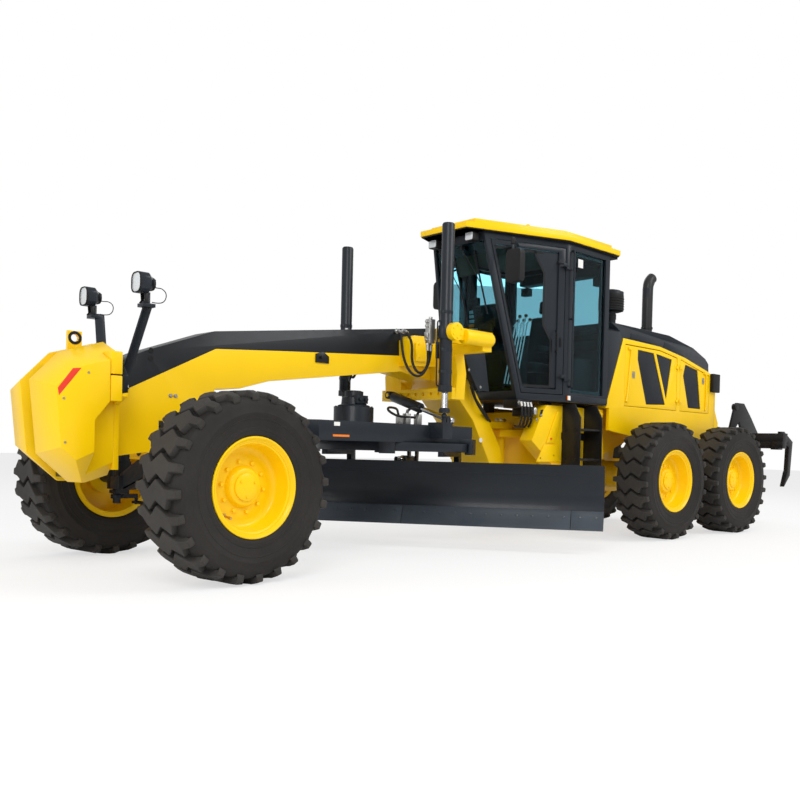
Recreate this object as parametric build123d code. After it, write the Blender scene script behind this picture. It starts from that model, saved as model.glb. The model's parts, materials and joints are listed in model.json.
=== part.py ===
"""Articulated motor grader with a mouldboard, a rear ripper and a glazed cab.

Millimetres, +X forward, +Y to the machine's left, +Z up, floor at Z = 0.
Every piece is laid out from the middle of the tandem (X = 0 there), and the whole
machine is then moved along X so that the middle of its length stands at X = 0.
"""

from build123d import *
import math
import os

# ---- driving dimensions ------------------------------------------------------
WHEELBASE = 6219.0            # front axle to the middle of the tandem
TANDEM_SPACING = 1538.0       # between the two wheels of one tandem
TRACK = 2155.0                # between the middles of left and right tyres
NOSE_FRONT = WHEELBASE + 1021 # foremost face of the nose weight
RIPPER_REAR = -2860.0         # rearmost edge of the ripper
SHIFT_X = -(NOSE_FRONT + RIPPER_REAR) / 2
FIT = 0.05                    # radial clearance of a running pin or shaft
SEAT_GAP = 0.3                # between faces that rest on each other and then move apart
EYE_BOSS_R = 32.0             # outside of a rod's eye

TYRE_R = 670.0                # to the tips of the tread bars
TYRE_WIDTH = 445.0
TREAD_BARS = 24
RIM_WIDTH = 356.0
BEAD_R = 317.5
FLANGE_R = 352.0
RIM_WALL = 14.0
HUB_R = 150.0
HUB_BORE_R = 60.0
WHEEL_Y = TRACK / 2

FLANGE_FRONT_X = WHEELBASE + 521        # the beam's nose flange ends here and the weight begins
NOSE_CUT_X = FLANGE_FRONT_X + 190       # the outer sides start here, clear of a steered tyre
NOSE_EYE_X = FLANGE_FRONT_X + 170
NOSE_EYE_Z = 1705.0
NOSE_EYE_R = 26.0
NOSE_EYE_THICK = 30.0

# steering and wheel lean
STEER_REST = 7.4              # degrees, both front wheels turned to the left
KINGPIN_Y = 850.0
KINGPIN_R = 32.0
LEAN_Y = 720.0
LEAN_Z = 620.0
LEAN_PIN_R = 30.0
LEAN_BAR_Z = 1060.0
LEAN_BAR_R = 28.0
STEER_ARM = 180.0
TIE_PIN_R = 20.0
LOOSE_PIN_R = 14.0            # pin in the track rod's right eye, which has play round it
TIE_Z = 443.0                 # height of the track rod
TIE_R = 14.0

# main beam and its leg
BEAM_HALF = 160.0
LEG_HALF = 280.0
ARTICULATION_X = 2350.0
ARTICULATION_PIN_R = 50.0

# lift cylinders, drawbar and circle
SADDLE_X = 3500.0
LIFT_X = SADDLE_X + 420
LIFT_Y = 750.0
LIFT_TRUNNION_Z = 2030.0
LIFT_TOP_Z = 3010.0
LIFT_BOTTOM_Z = 1490.0
LIFT_BALL_Z = 1270.0
LIFT_BALL_R = 26.0
LIFT_BARREL_R = 58.0
LIFT_ROD_R = 30.0
DRAWBAR_BALL_X = WHEELBASE - 459
DRAWBAR_BALL_Z = 1020.0
SHIFT_PIN = (SADDLE_X + 172, -330.0, 1505.0)
SHIFT_EYE = (SADDLE_X + 172, 570.0, 1240.0)
CIRCLE_X = SADDLE_X + 370
CIRCLE_R = 760.0
CIRCLE_WIDTH = 100.0
DRAWBAR_Z = 1020.0            # underside of the drawbar frame
CIRCLE_TOP_Z = DRAWBAR_Z - SEAT_GAP
CIRCLE_HEIGHT = 80.0
ARM_REACH = 425.0             # the circle's arms run this far ahead of and behind its middle
DRAWBAR_HEIGHT = 165.0

# mouldboard
BLADE_ANGLE = 34.0            # degrees from square across, left end to the rear
BLADE_LENGTH = 3960.0
BLADE_OFFSET = 60.0           # the blade stands shifted this far to its left end
BLADE_BOTTOM_Z = 225.0
BLADE_TOP_Z = 845.0
BLADE_PLATE = 25.0
BLADE_BACK = 120.0            # chord of the blade behind the circle's middle
TIP_PIN_R = 28.0

# rear frame
RAIL_INNER_Y = 330.0
RAIL_OUTER_Y = 380.0

# cab
CAB_FLOOR_Z = 1500.0
CAB_TOP_Z = 3190.0
CAB_WALL = 50.0
CAB_REAR_X = 1420.0
CAB_PILLAR_X = 2150.0
CAB_HALF = 750.0
CAB_FRONT_LOW_X = 2690.0
CAB_FRONT_TOP_X = 3080.0
CAB_TAPER = 0.40              # side wall's run inwards for each unit forward
GLASS = 6.0
DOOR_THICK = 42.0
DOOR_GAP = 8.0

# hood
HOOD_HALF = 700.0
HOOD_FRONT_X = 1050.0
HOOD_REAR_X = -1090.0
HOOD_SEAM_Z = 1480.0
HOOD_WALL = 40.0
HOOD_HINGE_X = -165.0

# ripper
TAIL_X = -1290.0
RIPPER_PIVOT = (-1500.0, 800.0)
RIPPER_BAR = (-2400.0, 1250.0)
RIPPER_PIN = (-1420.0, 1560.0)
RIPPER_EYE = (-2400.0, 1375.0)


# ---- making shapes -----------------------------------------------------------
def block(x0, x1, y0, y1, z0, z1):
    """A box between two corners."""
    size = (abs(x1 - x0), abs(y1 - y0), abs(z1 - z0))
    return Pos((x0 + x1) / 2, (y0 + y1) / 2, (z0 + z1) / 2) * Box(*size)


def side_plate(outline, y0, y1):
    """A plate whose X, Z outline runs from y0 to y1."""
    face = make_face(Polyline(*[(x, 0, z) for x, z in outline], close=True))
    solid = extrude(face, amount=y1 - y0, dir=(0, 1, 0))
    return Pos(0, y0, 0) * solid


def cross_plate(outline, x0, x1):
    """A plate whose Y, Z outline runs from x0 to x1."""
    face = make_face(Polyline(*[(0, y, z) for y, z in outline], close=True))
    return Pos(x0, 0, 0) * extrude(face, amount=x1 - x0, dir=(1, 0, 0))


def flat_plate(outline, z0, z1):
    """A plate whose X, Y outline runs from z0 up to z1."""
    face = make_face(Polyline(*[(x, y, 0) for x, y in outline], close=True))
    return Pos(0, 0, z0) * extrude(face, amount=z1 - z0, dir=(0, 0, 1))


def bar(start, end, radius):
    """A round bar between two points."""
    start, end = Vector(*start), Vector(*end)
    along = end - start
    plane = Plane(origin=start, z_dir=along)
    return plane * Cylinder(radius, along.length, align=(Align.CENTER, Align.CENTER, Align.MIN))


def beam_between(start, end, wide, high):
    """A square-section bar between two points, 'wide' level and 'high' upright."""
    start, end = Vector(*start), Vector(*end)
    along = end - start
    level = Vector(0, 0, 1).cross(along)
    plane = Plane(origin=start, x_dir=level, z_dir=along)
    return plane * Box(wide, high, along.length, align=(Align.CENTER, Align.CENTER, Align.MIN))


def both_sides(shape):
    """The shape and its mirror image across the machine's middle."""
    return shape + mirror(shape, about=Plane.XZ)


def other_side(shape):
    return mirror(shape, about=Plane.XZ)


def turned(shape, degrees, x, y):
    """The shape turned about an upright axis through x, y."""
    return Pos(x, y, 0) * Rot(0, 0, degrees) * Pos(-x, -y, 0) * shape


def revolved(profile, x, z):
    """A Y-axis body of revolution from (radius, y) corners."""
    face = make_face(Polyline(*[(r, y, 0) for r, y in profile], close=True))
    return Pos(x, 0, z) * revolve(face, axis=Axis.Y)


def export(name, *shapes):
    """Writes one node, moved so that the machine's middle stands at X = 0."""
    os.makedirs("parts", exist_ok=True)
    solids = [s for shape in shapes for s in shape.solids()]
    whole = solids[0] if len(solids) == 1 else Compound(solids)
    export_step(Pos(SHIFT_X, 0, 0) * whole, f"parts/{name}.step")


def cylinder_pair(pin, eye, barrel_r, rod_r, barrel_end, half_eye):
    """A hydraulic cylinder between two level cross pins: its barrel and its rod.

    barrel_end is how far the barrel reaches from its pin; half_eye is half an eye's width.
    The rod's eye is a plain boss between its lugs.
    """
    start, end = Vector(*pin), Vector(*eye)
    along = (end - start).normalized()
    across = Vector(0, 1, 0)
    pin_r = 18
    barrel = bar(tuple(start + along * (barrel_r + 8)), tuple(start + along * barrel_end), barrel_r)
    boss = bar(tuple(start - across * half_eye), tuple(start + across * half_eye), barrel_r - 4)
    neck = bar(tuple(start + along * 20), tuple(start + along * (barrel_r + 20)), rod_r)
    bore = bar(tuple(start + along * (barrel_r + 40)), tuple(start + along * (barrel_end + 10)), rod_r + FIT)
    hole = bar(tuple(start - across * 90), tuple(start + across * 90), pin_r + FIT)
    rod_start = start + along * (barrel_r + 80)
    rod = bar(tuple(rod_start), tuple(end), rod_r)
    eye_boss = bar(tuple(end - across * half_eye), tuple(end + across * half_eye), EYE_BOSS_R)
    return barrel + boss + neck - bore - hole, rod + eye_boss


# ---- wheels ------------------------------------------------------------------
TREAD_FLAT_R = TYRE_R - 34     # from the hub's line to the middle of one flat of the tread
TREAD_HALF = 205.0
TREAD_BAR = [  # round the tread, across it
    (-12.0, -200.0), (-62.0, 0.0), (-12.0, 200.0), (40.0, 200.0), (20.0, 0.0), (40.0, -200.0),
]
TYRE_RING = [  # across the tyre, radius to the middle of a flat, right round its section
    (-RIM_WIDTH / 2 + 1.5, FLANGE_R + 4), (-TYRE_WIDTH / 2, 520.0), (-TREAD_HALF, TREAD_FLAT_R),
    (TREAD_HALF, TREAD_FLAT_R), (TYRE_WIDTH / 2, 520.0), (RIM_WIDTH / 2 - 1.5, FLANGE_R + 4),
    (RIM_WIDTH / 2 - 1.5, BEAD_R + 0.5), (-RIM_WIDTH / 2 + 1.5, BEAD_R + 0.5),
]


def ring_corners(along, flat_r, first):
    """Corners of a flat-sided ring about the wheel's line; first is the bearing of one flat's middle."""
    corner_r = flat_r / math.cos(math.pi / TREAD_BARS)
    corners = []
    for k in range(TREAD_BARS):
        bearing = first + (k + 0.5) * 2 * math.pi / TREAD_BARS
        corners.append((corner_r * math.sin(bearing), along, corner_r * math.cos(bearing)))
    return corners


def tyre(x, y):
    """A tyre with its middle at x, y, standing on one bar's corner: a flat-sided ring with its bars."""
    farthest = max(abs(run) for run, _ in TREAD_BAR)
    tip_r = math.sqrt(TYRE_R ** 2 - farthest ** 2)
    first = math.pi + math.atan2(farthest, tip_r)
    rows = [ring_corners(along, flat_r, first) for along, flat_r in TYRE_RING]
    flats = []
    for row, following in zip(rows, rows[1:] + rows[:1]):
        for k in range(TREAD_BARS):
            flats.append(make_face(Polyline(row[k - 1], row[k], following[k], following[k - 1], close=True)))
    ring = Solid(Shell(flats))
    bar_face = make_face(Polyline(*[(run, across, TREAD_FLAT_R - 6) for run, across in TREAD_BAR], close=True))
    one = extrude(bar_face, amount=tip_r - TREAD_FLAT_R + 6, dir=(0, 0, 1))
    pitch = 360 / TREAD_BARS
    bars = [Rot(0, math.degrees(first) + k * pitch, 0) * one for k in range(TREAD_BARS)]
    return Pos(x, y, TYRE_R) * (ring + bars)


def rim(x, y, outward):
    """A deep-dish rim with its hub drum; outward is +1 on the left, -1 on the right."""
    half = RIM_WIDTH / 2
    disc_y = 42.0
    disc = 18.0
    profile = [(FLANGE_R, half + 16), (FLANGE_R, half), (BEAD_R, half - 1), (BEAD_R, -half + 1),
               (FLANGE_R, -half), (FLANGE_R, -half - 16), (BEAD_R - RIM_WALL, -half - 6),
               (BEAD_R - RIM_WALL, disc_y - disc), (HUB_R, disc_y - disc),
               (HUB_R, disc_y - 90), (HUB_BORE_R + FIT, disc_y - 90), (HUB_BORE_R + FIT, disc_y + 10),
               (20, disc_y + 10), (20, disc_y + 60), (HUB_R - 20, disc_y + 60),
               (HUB_R - 20, disc_y), (BEAD_R - RIM_WALL, disc_y), (BEAD_R - RIM_WALL, half + 10)]
    profile = [(r, outward * along) for r, along in profile]
    return Pos(0, y, 0) * revolved(profile, x, TYRE_R)


WHEELS = [  # name, x, side, turned with the steering
    ("front", WHEELBASE, True),
    ("mid", TANDEM_SPACING / 2, False),
    ("rear", -TANDEM_SPACING / 2, False),
]


def make_wheels():
    for name, x, steered in WHEELS:
        for side, sign in (("left", 1), ("right", -1)):
            for piece, shape in (("tyre", tyre(x, sign * WHEEL_Y)), ("rim", rim(x, sign * WHEEL_Y, sign))):
                if steered:
                    shape = turned(shape, STEER_REST, x, sign * KINGPIN_Y)
                export(f"{name}_{piece}_{side}", shape)


# ---- front axle, wheel lean and steering -------------------------------------
def front_axle():
    """A forged beam that rocks on a pin under the nose, forked at each end for the lean link."""
    x = WHEELBASE
    outline = [(-LEAN_Y + 45, 560), (-300, 600), (300, 600), (LEAN_Y - 45, 560),
               (LEAN_Y - 45, 690), (300, 830), (90, 960), (-90, 960), (-300, 830), (-LEAN_Y + 45, 690)]
    beam = cross_plate(outline, x - 60, x + 60)
    end = block(x - 95, x + 95, LEAN_Y - 130, LEAN_Y - 75, 570, 680)
    cheek = block(x + 62, x + 95, LEAN_Y - 130, LEAN_Y + 40, 570, 670)
    cheeks = cheek + block(x - 95, x - 62, LEAN_Y - 130, LEAN_Y + 40, 570, 670)
    beam = beam - both_sides(block(x - 70, x + 70, LEAN_Y - 70, LEAN_Y + 60, 500, 760))
    pin = both_sides(bar((x - 95, LEAN_Y, LEAN_Z), (x + 95, LEAN_Y, LEAN_Z), LEAN_PIN_R))
    rocker = bar((x - 200, 0, 900), (x + 200, 0, 900), 45)
    boss = bar((x - 110, 0, 900), (x + 110, 0, 900), 75)
    return beam + both_sides(end + cheeks) + pin + rocker + boss


def lean_link():
    """Left-hand link: swings on the axle's end and carries the kingpin fork."""
    x = WHEELBASE
    lower = bar((x - 60, LEAN_Y, LEAN_Z), (x + 60, LEAN_Y, LEAN_Z), 58)
    web = block(x - 55, x + 55, LEAN_Y - 20, LEAN_Y + 40, LEAN_Z, 800)
    web += block(x - 38, x + 38, LEAN_Y - 35, LEAN_Y + 30, 800, LEAN_BAR_Z)
    top = bar((x - 38, LEAN_Y, LEAN_BAR_Z), (x + 38, LEAN_Y, LEAN_BAR_Z), 45)
    slot = block(x - 20, x + 20, LEAN_Y - 80, LEAN_Y + 80, LEAN_BAR_Z - 55, LEAN_BAR_Z + 80)
    ears = block(x - 60, x + 60, LEAN_Y + 20, KINGPIN_Y, 785, 815)
    ears += Pos(x, KINGPIN_Y, 800) * Cylinder(60, 30)
    ears += block(x - 60, x + 60, LEAN_Y + 20, KINGPIN_Y, 525, 555)
    ears += Pos(x, KINGPIN_Y, 540) * Cylinder(60, 30)
    web += block(x - 55, x + 55, LEAN_Y + 10, LEAN_Y + 40, 525, 800)
    pin_hole = bar((x - 80, LEAN_Y, LEAN_Z), (x + 80, LEAN_Y, LEAN_Z), LEAN_PIN_R + FIT)
    kingpin_hole = bar((x, KINGPIN_Y, 450), (x, KINGPIN_Y, 900), KINGPIN_R + FIT)
    top_pin = bar((x - 38, LEAN_Y, LEAN_BAR_Z), (x + 38, LEAN_Y, LEAN_BAR_Z), 18)
    return (lower + web + top + ears - slot - pin_hole - kingpin_hole) + top_pin


def lean_bar():
    """The tie that makes both front wheels lean alike."""
    x = WHEELBASE
    shaft = bar((x, -LEAN_Y + 30, LEAN_BAR_Z), (x, LEAN_Y - 30, LEAN_BAR_Z), LEAN_BAR_R - 10)
    eyes = both_sides(bar((x - 17, LEAN_Y, LEAN_BAR_Z), (x + 17, LEAN_Y, LEAN_BAR_Z), 38))
    holes = both_sides(bar((x - 30, LEAN_Y, LEAN_BAR_Z), (x + 30, LEAN_Y, LEAN_BAR_Z), 18 + FIT))
    return shaft + eyes - holes


def knuckle(sign):
    """Steering knuckle: kingpin, wheel spindle and steering arm; sign is +1 on the left."""
    x, y = WHEELBASE, sign * KINGPIN_Y
    body = block(x - 62, x + 62, y, y + sign * 50, 562, 778) + Pos(x, y, 670) * Cylinder(62, 216)
    kingpin = bar((x, y, 440), (x, y, 835), KINGPIN_R)
    spindle = bar((x, y, TYRE_R), (x, sign * (WHEEL_Y + 50), TYRE_R), HUB_BORE_R)
    arm = block(x - STEER_ARM, x, y - 28, y + 28, 480, 515)
    arm += Pos(x, y, 497.5) * Cylinder(48, 35)
    ball = bar((x - STEER_ARM, y, TIE_Z - 18), (x - STEER_ARM, y, 515), TIE_PIN_R if sign > 0 else LOOSE_PIN_R)
    return turned(body + kingpin + spindle + arm + ball, STEER_REST, x, y)


def tie_point(sign):
    """Where the steering arm of one side holds the track rod, at rest."""
    angle = math.radians(STEER_REST)
    return (WHEELBASE - STEER_ARM * math.cos(angle),
            sign * KINGPIN_Y - STEER_ARM * math.sin(angle))


def tie_rod_end():
    """Ball socket on the left steering arm, forked for the track rod."""
    x, y = tie_point(1)
    cup = Pos(x, y, TIE_Z) * Cylinder(36, 30)
    hole = Pos(x, y, TIE_Z) * Cylinder(TIE_PIN_R + FIT, 120)
    tongue = block(x - 12, x + 12, y - 85, y - 25, TIE_Z - 15, TIE_Z + 15)
    pin_hole = bar((x - 30, y - 65, TIE_Z), (x + 30, y - 65, TIE_Z), 9 + FIT)
    return cup + tongue - hole - pin_hole


def tie_rod():
    """Track rod across the machine, from the left socket's tongue to the right arm."""
    x, y = tie_point(1)
    _, y_right = tie_point(-1)
    z = TIE_Z
    fork = block(x - 24, x - 13, y - 130, y - 48, z - 15, z + 15)
    fork += block(x + 13, x + 24, y - 130, y - 48, z - 15, z + 15)
    fork += block(x - 24, x + 24, y - 150, y - 95, z - 15, z + 15)
    pin = bar((x - 24, y - 65, z), (x + 24, y - 65, z), 9)
    shaft = bar((x, y - 140, z), (x, y_right + 32, z), TIE_R)
    eye = Pos(x, y_right, z) * Cylinder(36, 20)
    hole = Pos(x, y_right, z) * Cylinder(28, 120)
    return fork + pin + shaft + eye - hole


def make_front_axle():
    export("front_axle", front_axle())
    export("lean_link_left", lean_link())
    export("lean_link_right", other_side(lean_link()))
    export("lean_bar", lean_bar())
    export("knuckle_left", knuckle(1))
    export("knuckle_right", knuckle(-1))
    export("tie_rod_end", tie_rod_end())
    export("tie_rod", tie_rod())


# ---- main beam, nose, saddle -------------------------------------------------
def main_beam():
    """Box beam from the nose to the articulation, with its bent leg and the axle's two lugs."""
    x = WHEELBASE
    flange_x = FLANGE_FRONT_X - 40
    over = SADDLE_X
    neck = [(flange_x, 1530), (x + 231, 1650), (x - 329, 1860), (over + 50, 2160), (over - 120, 1950),
            (over + 60, 1640), (over + 450, 1700), (x - 829, 1500), (x - 559, 1420), (x - 339, 1400),
            (x - 259, 1130), (x + 141, 1130), (x + 141, 900), (x + 421, 860), (flange_x, 860)]
    beam = side_plate(neck, -BEAM_HALF, BEAM_HALF)
    foot = ARTICULATION_X
    leg = [(over + 50, 2150), (over - 120, 1940), (over - 320, 1750), (foot + 520, 1330), (foot + 290, 980),
           (foot + 210, 600), (foot + 410, 560), (foot + 470, 850), (foot + 720, 1270), (over - 220, 1480),
           (over + 60, 1640), (over + 140, 1960)]
    beam += side_plate(leg, -LEG_HALF, LEG_HALF)
    front_lug = block(x + 120, x + 200, -BEAM_HALF, BEAM_HALF, 830, 1200)
    rear_lug = block(x - 260, x - 120, -BEAM_HALF, BEAM_HALF, 830, 1200)
    holes = bar((x - 300, 0, 900), (x + 210, 0, 900), 45 + FIT)
    beam = beam + front_lug + rear_lug - holes
    flange = cross_plate([(-300, 760), (300, 760), (300, 1230), (440, 1280), (440, 1430), (300, 1570),
                          (-300, 1570), (-440, 1430), (-440, 1280), (-300, 1230)], flange_x, FLANGE_FRONT_X)
    ball_seat = Pos(DRAWBAR_BALL_X + 120, 0, DRAWBAR_BALL_Z) * Box(120, 150, 150)
    ball_hanger = block(DRAWBAR_BALL_X + 70, x - 130, -75, 75, 960, 1200)
    ball = Pos(DRAWBAR_BALL_X, 0, DRAWBAR_BALL_Z) * Sphere(60)
    stem = bar((DRAWBAR_BALL_X, 0, DRAWBAR_BALL_Z), (DRAWBAR_BALL_X + 100, 0, DRAWBAR_BALL_Z), 32)
    lugs = flat_plate([(foot + 550, -200), (foot - 110, -90), (foot - 110, 90), (foot + 550, 200)], 1205, 1275)
    low = flat_plate([(foot + 350, -200), (foot - 110, -90), (foot - 110, 90), (foot + 350, 200)], 620, 690)
    pins = bar((ARTICULATION_X, 0, 500), (ARTICULATION_X, 0, 1400), ARTICULATION_PIN_R + FIT)
    return beam + flange + ball_seat + ball_hanger + ball + stem + (lugs + low - pins)


def beyond(a, b, c, outward):
    """A large block on the outward side of the plane through three points."""
    a, b, c = Vector(*a), Vector(*b), Vector(*c)
    square = (b - a).cross(c - a)
    if square.dot(Vector(*outward)) < 0:
        square = square * -1
    plane = Plane(origin=a, x_dir=b - a, z_dir=square)
    return plane * Box(3000, 3000, 900, align=(Align.CENTER, Align.CENTER, Align.MIN))


def nose_weight():
    """Cast counterweight in two facetted halves with an upright slot between them."""
    front = NOSE_FRONT
    back = FLANGE_FRONT_X
    slot, side = 90, 450
    profile = [(front - 50, 866), (front, 1379), (front - 190, 1590), (back, 1690), (back, 720),
               (front - 330, 668), (front - 265, 668)]
    left = side_plate(profile, slot, side)
    facets = [  # three points on the plane, and which way is out
        ((front, slot, 1379), (front - 190, slot, 1590), (front - 50, side, 1324), (1, 0, 1)),
        ((front, slot, 1379), (front - 50, slot, 866), (front - 50, side, 1324), (1, 0, 0)),
        ((front - 190, slot, 1590), (back, slot, 1690), (front - 135, side, 1443), (0, 0, 1)),
        ((front - 50, slot, 866), (front - 265, slot, 668), (front - 186, side, 829), (1, 0, -1)),
        ((front - 186, side, 829), (front - 312, side, 888), (front - 200, 300, 677), (0, 1, -1)),
    ]
    for a, b, c, outward in facets:
        left -= beyond(a, b, c, outward)
    step = NOSE_CUT_X - 100
    left -= side_plate([(back - 40, 600), (NOSE_CUT_X, 600), (NOSE_CUT_X, 1110), (step, 1240), (step, 1750),
                        (back - 40, 1750)], 300, 600)
    eye = block(NOSE_EYE_X - 50, NOSE_EYE_X + 50, -NOSE_EYE_THICK / 2, NOSE_EYE_THICK / 2, 1480, NOSE_EYE_Z + 50)
    eye -= bar((NOSE_EYE_X, -50, NOSE_EYE_Z), (NOSE_EYE_X, 50, NOSE_EYE_Z), NOSE_EYE_R)
    return other_side(left) + left + block(back, front - 160, -slot, slot, 860, 1500) + eye


def lamp_stalks():
    """Two flat-bar stalks on the nose flange, each with a work lamp on a bracket."""
    x = WHEELBASE + 341
    foot = block(x + 25, x + 95, BEAM_HALF, BEAM_HALF + 30, 1350, 1450)
    stalk = beam_between((x + 60, BEAM_HALF + 15, 1400), (x, 430, 1960), 70, 14)
    head = Pos(x + 55, 468, 2092) * Box(100, 150, 146)
    head = fillet(head.edges().filter_by(Axis.X), 48)
    head = chamfer(head.faces().sort_by(Axis.X)[0].edges(), 34)
    ledge = block(x - 20, x + 70, 405, 500, 1925, 1950)
    neck = block(x + 12, x + 42, 452, 484, 1945, 2030)
    return both_sides(foot + stalk + ledge + neck + head)


def lift_saddle():
    """Saddle over the beam: legs down to the holed link bar, forks out to the lift cylinders."""
    x0, x1 = SADDLE_X - 60, SADDLE_X + 60
    leg = cross_plate([(LEG_HALF, 1450), (520, 1450), (540, 1700), (500, 1900), (560, 2000),
                       (LEG_HALF, 2000)], x0, x1)
    arm = block(x0, x1, 420, 870, 1890, 2020)
    outer = block(x0, LIFT_X + 40, 835, 880, 1960, 2070)
    inner = block(x0, LIFT_X + 40, 620, 665, 1960, 2070)
    cap_disc = bar((LIFT_X, 835, LIFT_TRUNNION_Z), (LIFT_X, 900, LIFT_TRUNNION_Z), 80)
    holes = bar((LIFT_X, 500, LIFT_TRUNNION_Z), (LIFT_X, 860, LIFT_TRUNNION_Z), 32 + FIT)
    side = leg + arm + outer + inner + cap_disc - holes
    link = block(x1, x1 + 50, -520, 520, 1450, 1560)
    for hole in range(7):
        y = (hole - 3) * 110
        link -= bar((SADDLE_X, y, 1505), (SADDLE_X + 200, y, 1505), 18)
    pin_x, pin_y, pin_z = SHIFT_PIN
    pin = bar((x1, pin_y, pin_z), (pin_x + 32, pin_y, pin_z), 18)
    return both_sides(side) + link + pin


def make_front_frame():
    export("main_beam", main_beam())
    export("nose_weight", nose_weight())
    export("lamp_stalks", lamp_stalks())
    export("lift_saddle", lift_saddle())


# ---- drawbar, circle and mouldboard ------------------------------------------
def circle_shoe(bearing):
    """Clamp that holds the slewing ring up to the drawbar, at a bearing from straight ahead."""
    outside = CIRCLE_X + CIRCLE_R + 8
    under = CIRCLE_TOP_Z - CIRCLE_HEIGHT - SEAT_GAP
    shoe = block(CIRCLE_X + 600, outside + 35, -70, 70, DRAWBAR_Z, DRAWBAR_Z + 45)
    shoe += block(outside, outside + 35, -70, 70, under - 22, DRAWBAR_Z)
    shoe += block(outside - 35, outside, -70, 70, under - 22, under)
    return turned(shoe, bearing, CIRCLE_X, 0)


def drawbar():
    """Frame from the ball under the nose back over the circle, with the circle drive."""
    ball_x = DRAWBAR_BALL_X
    gear_x = CIRCLE_X + 505
    rear_x = CIRCLE_X - 570
    plan = [(ball_x - 85, -60), (ball_x - 560, -620), (rear_x + 120, -620), (rear_x, -400), (rear_x, 400),
            (rear_x + 120, 620), (ball_x - 560, 620), (ball_x - 85, 60)]
    inner = [(ball_x - 430, 0), (ball_x - 780, -440), (gear_x + 285, -440), (gear_x + 285, 440),
             (ball_x - 780, 440)]
    opening = [(gear_x - 295, -440), (rear_x + 200, -440), (rear_x + 200, 440), (gear_x - 295, 440)]
    frame = flat_plate(plan, DRAWBAR_Z, DRAWBAR_Z + DRAWBAR_HEIGHT)
    frame -= flat_plate(inner, DRAWBAR_Z - 10, DRAWBAR_Z + 400)
    frame -= flat_plate(opening, DRAWBAR_Z - 10, DRAWBAR_Z + 400)
    eye = Pos(DRAWBAR_BALL_X, 0, DRAWBAR_BALL_Z) * Sphere(95)
    eye -= Pos(DRAWBAR_BALL_X, 0, DRAWBAR_BALL_Z) * Sphere(60 + 0.3)
    eye -= block(DRAWBAR_BALL_X + 28, DRAWBAR_BALL_X + 200, -200, 200, 500, 1500)
    gear = Pos(gear_x, 0, DRAWBAR_Z + 240) * Cylinder(185, 160)
    gear += Pos(gear_x, 0, DRAWBAR_Z + 355) * Cylinder(90, 80)
    post = block(LIFT_X - 60, LIFT_X + 60, 600, 800, DRAWBAR_Z + 40, LIFT_BALL_Z - 60)
    stub = bar((LIFT_X, LIFT_Y, LIFT_BALL_Z - 80), (LIFT_X, LIFT_Y, LIFT_BALL_Z), 18)
    ball = Pos(LIFT_X, LIFT_Y, LIFT_BALL_Z) * Sphere(LIFT_BALL_R)
    x, y, z = SHIFT_EYE
    top = DRAWBAR_Z + DRAWBAR_HEIGHT
    shift_post = block(x + 42, x + 72, y - 40, y + 40, top, z + 40)
    shift_pin = bar((x + 70, y, z), (x + 86, y, z), 24)
    shoes = circle_shoe(45) + circle_shoe(-45) + circle_shoe(120) + circle_shoe(-120)
    return frame + eye + gear + both_sides(post + stub + ball) + shift_post + shift_pin + shoes


def circle():
    """Slewing ring with the two arms that carry the mouldboard."""
    ring = Pos(CIRCLE_X, 0, CIRCLE_TOP_Z - CIRCLE_HEIGHT / 2) * (
        Cylinder(CIRCLE_R, CIRCLE_HEIGHT) - Cylinder(CIRCLE_R - CIRCLE_WIDTH, CIRCLE_HEIGHT + 2))
    return ring


def on_blade(shape):
    """Turns what is drawn square across (blade along Y) to the blade's rest angle."""
    return turned(shape, BLADE_ANGLE, CIRCLE_X, 0)


ARM_Y = 560.0                 # circle arms, each side of the middle
ARM_PLATE = 50.0
CHEEK_PLATE = 34.0
CHEEK_GAP = 6.0               # between a circle arm and the carrier's cheek
RAIL_Z = (430.0, 760.0)       # lower and upper slide rails on the blade's back
RAIL_HALF = 1500.0
RAIL_GAP = SEAT_GAP
TIP_Z = 480.0
BLADE_X = CIRCLE_X - BLADE_BACK
TIP_X = BLADE_X - 260.0
BLADE_FOOT = 60.0             # the cutting edge stands ahead of BLADE_X
BLADE_HEAD = 30.0
BLADE_HOLLOW = 80.0           # the blade's middle stands behind BLADE_X
TIP_PIN = (CIRCLE_X - 720.0, 850.0)
TIP_EYE = (BLADE_X - 118.0, 855.0)


def circle_arms():
    """Arms down from the ring to the tipping pins, with the tip cylinder's lugs behind."""
    under = CIRCLE_TOP_Z - CIRCLE_HEIGHT
    arm = side_plate([(CIRCLE_X + ARM_REACH, under), (CIRCLE_X - ARM_REACH, under), (TIP_X - 70, TIP_Z),
                      (TIP_X - 50, TIP_Z - 60), (TIP_X + 50, TIP_Z - 60), (TIP_X + 62, TIP_Z + 60),
                      (TIP_X + 90, under - 45), (CIRCLE_X + ARM_REACH, under - 45)],
                     ARM_Y - ARM_PLATE / 2, ARM_Y + ARM_PLATE / 2)
    inside = ARM_Y - ARM_PLATE / 2 - CHEEK_GAP - CHEEK_PLATE
    pin = bar((TIP_X, inside - 12, TIP_Z), (TIP_X, ARM_Y + 40, TIP_Z), TIP_PIN_R)
    x, z = TIP_PIN
    lug = side_plate([(x - 45, z - 35), (x + 30, z - 35), (x + 45, under), (x - 60, under)], 32, 52)
    lug_pin = bar((x, -52, z), (x, 52, z), 18)
    return on_blade(both_sides(arm + pin + lug) + lug_pin)


def blade_back(z):
    """X of the blade's rear face at a height, on the arc through its foot, middle and head."""
    mid_z = (BLADE_BOTTOM_Z + BLADE_TOP_Z) / 2
    rise = (BLADE_TOP_Z - BLADE_BOTTOM_Z) / 2
    reach = (BLADE_HEAD if z > mid_z else BLADE_FOOT) + BLADE_HOLLOW
    return BLADE_X - BLADE_HOLLOW - BLADE_PLATE + reach * ((z - mid_z) / rise) ** 2


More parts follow.
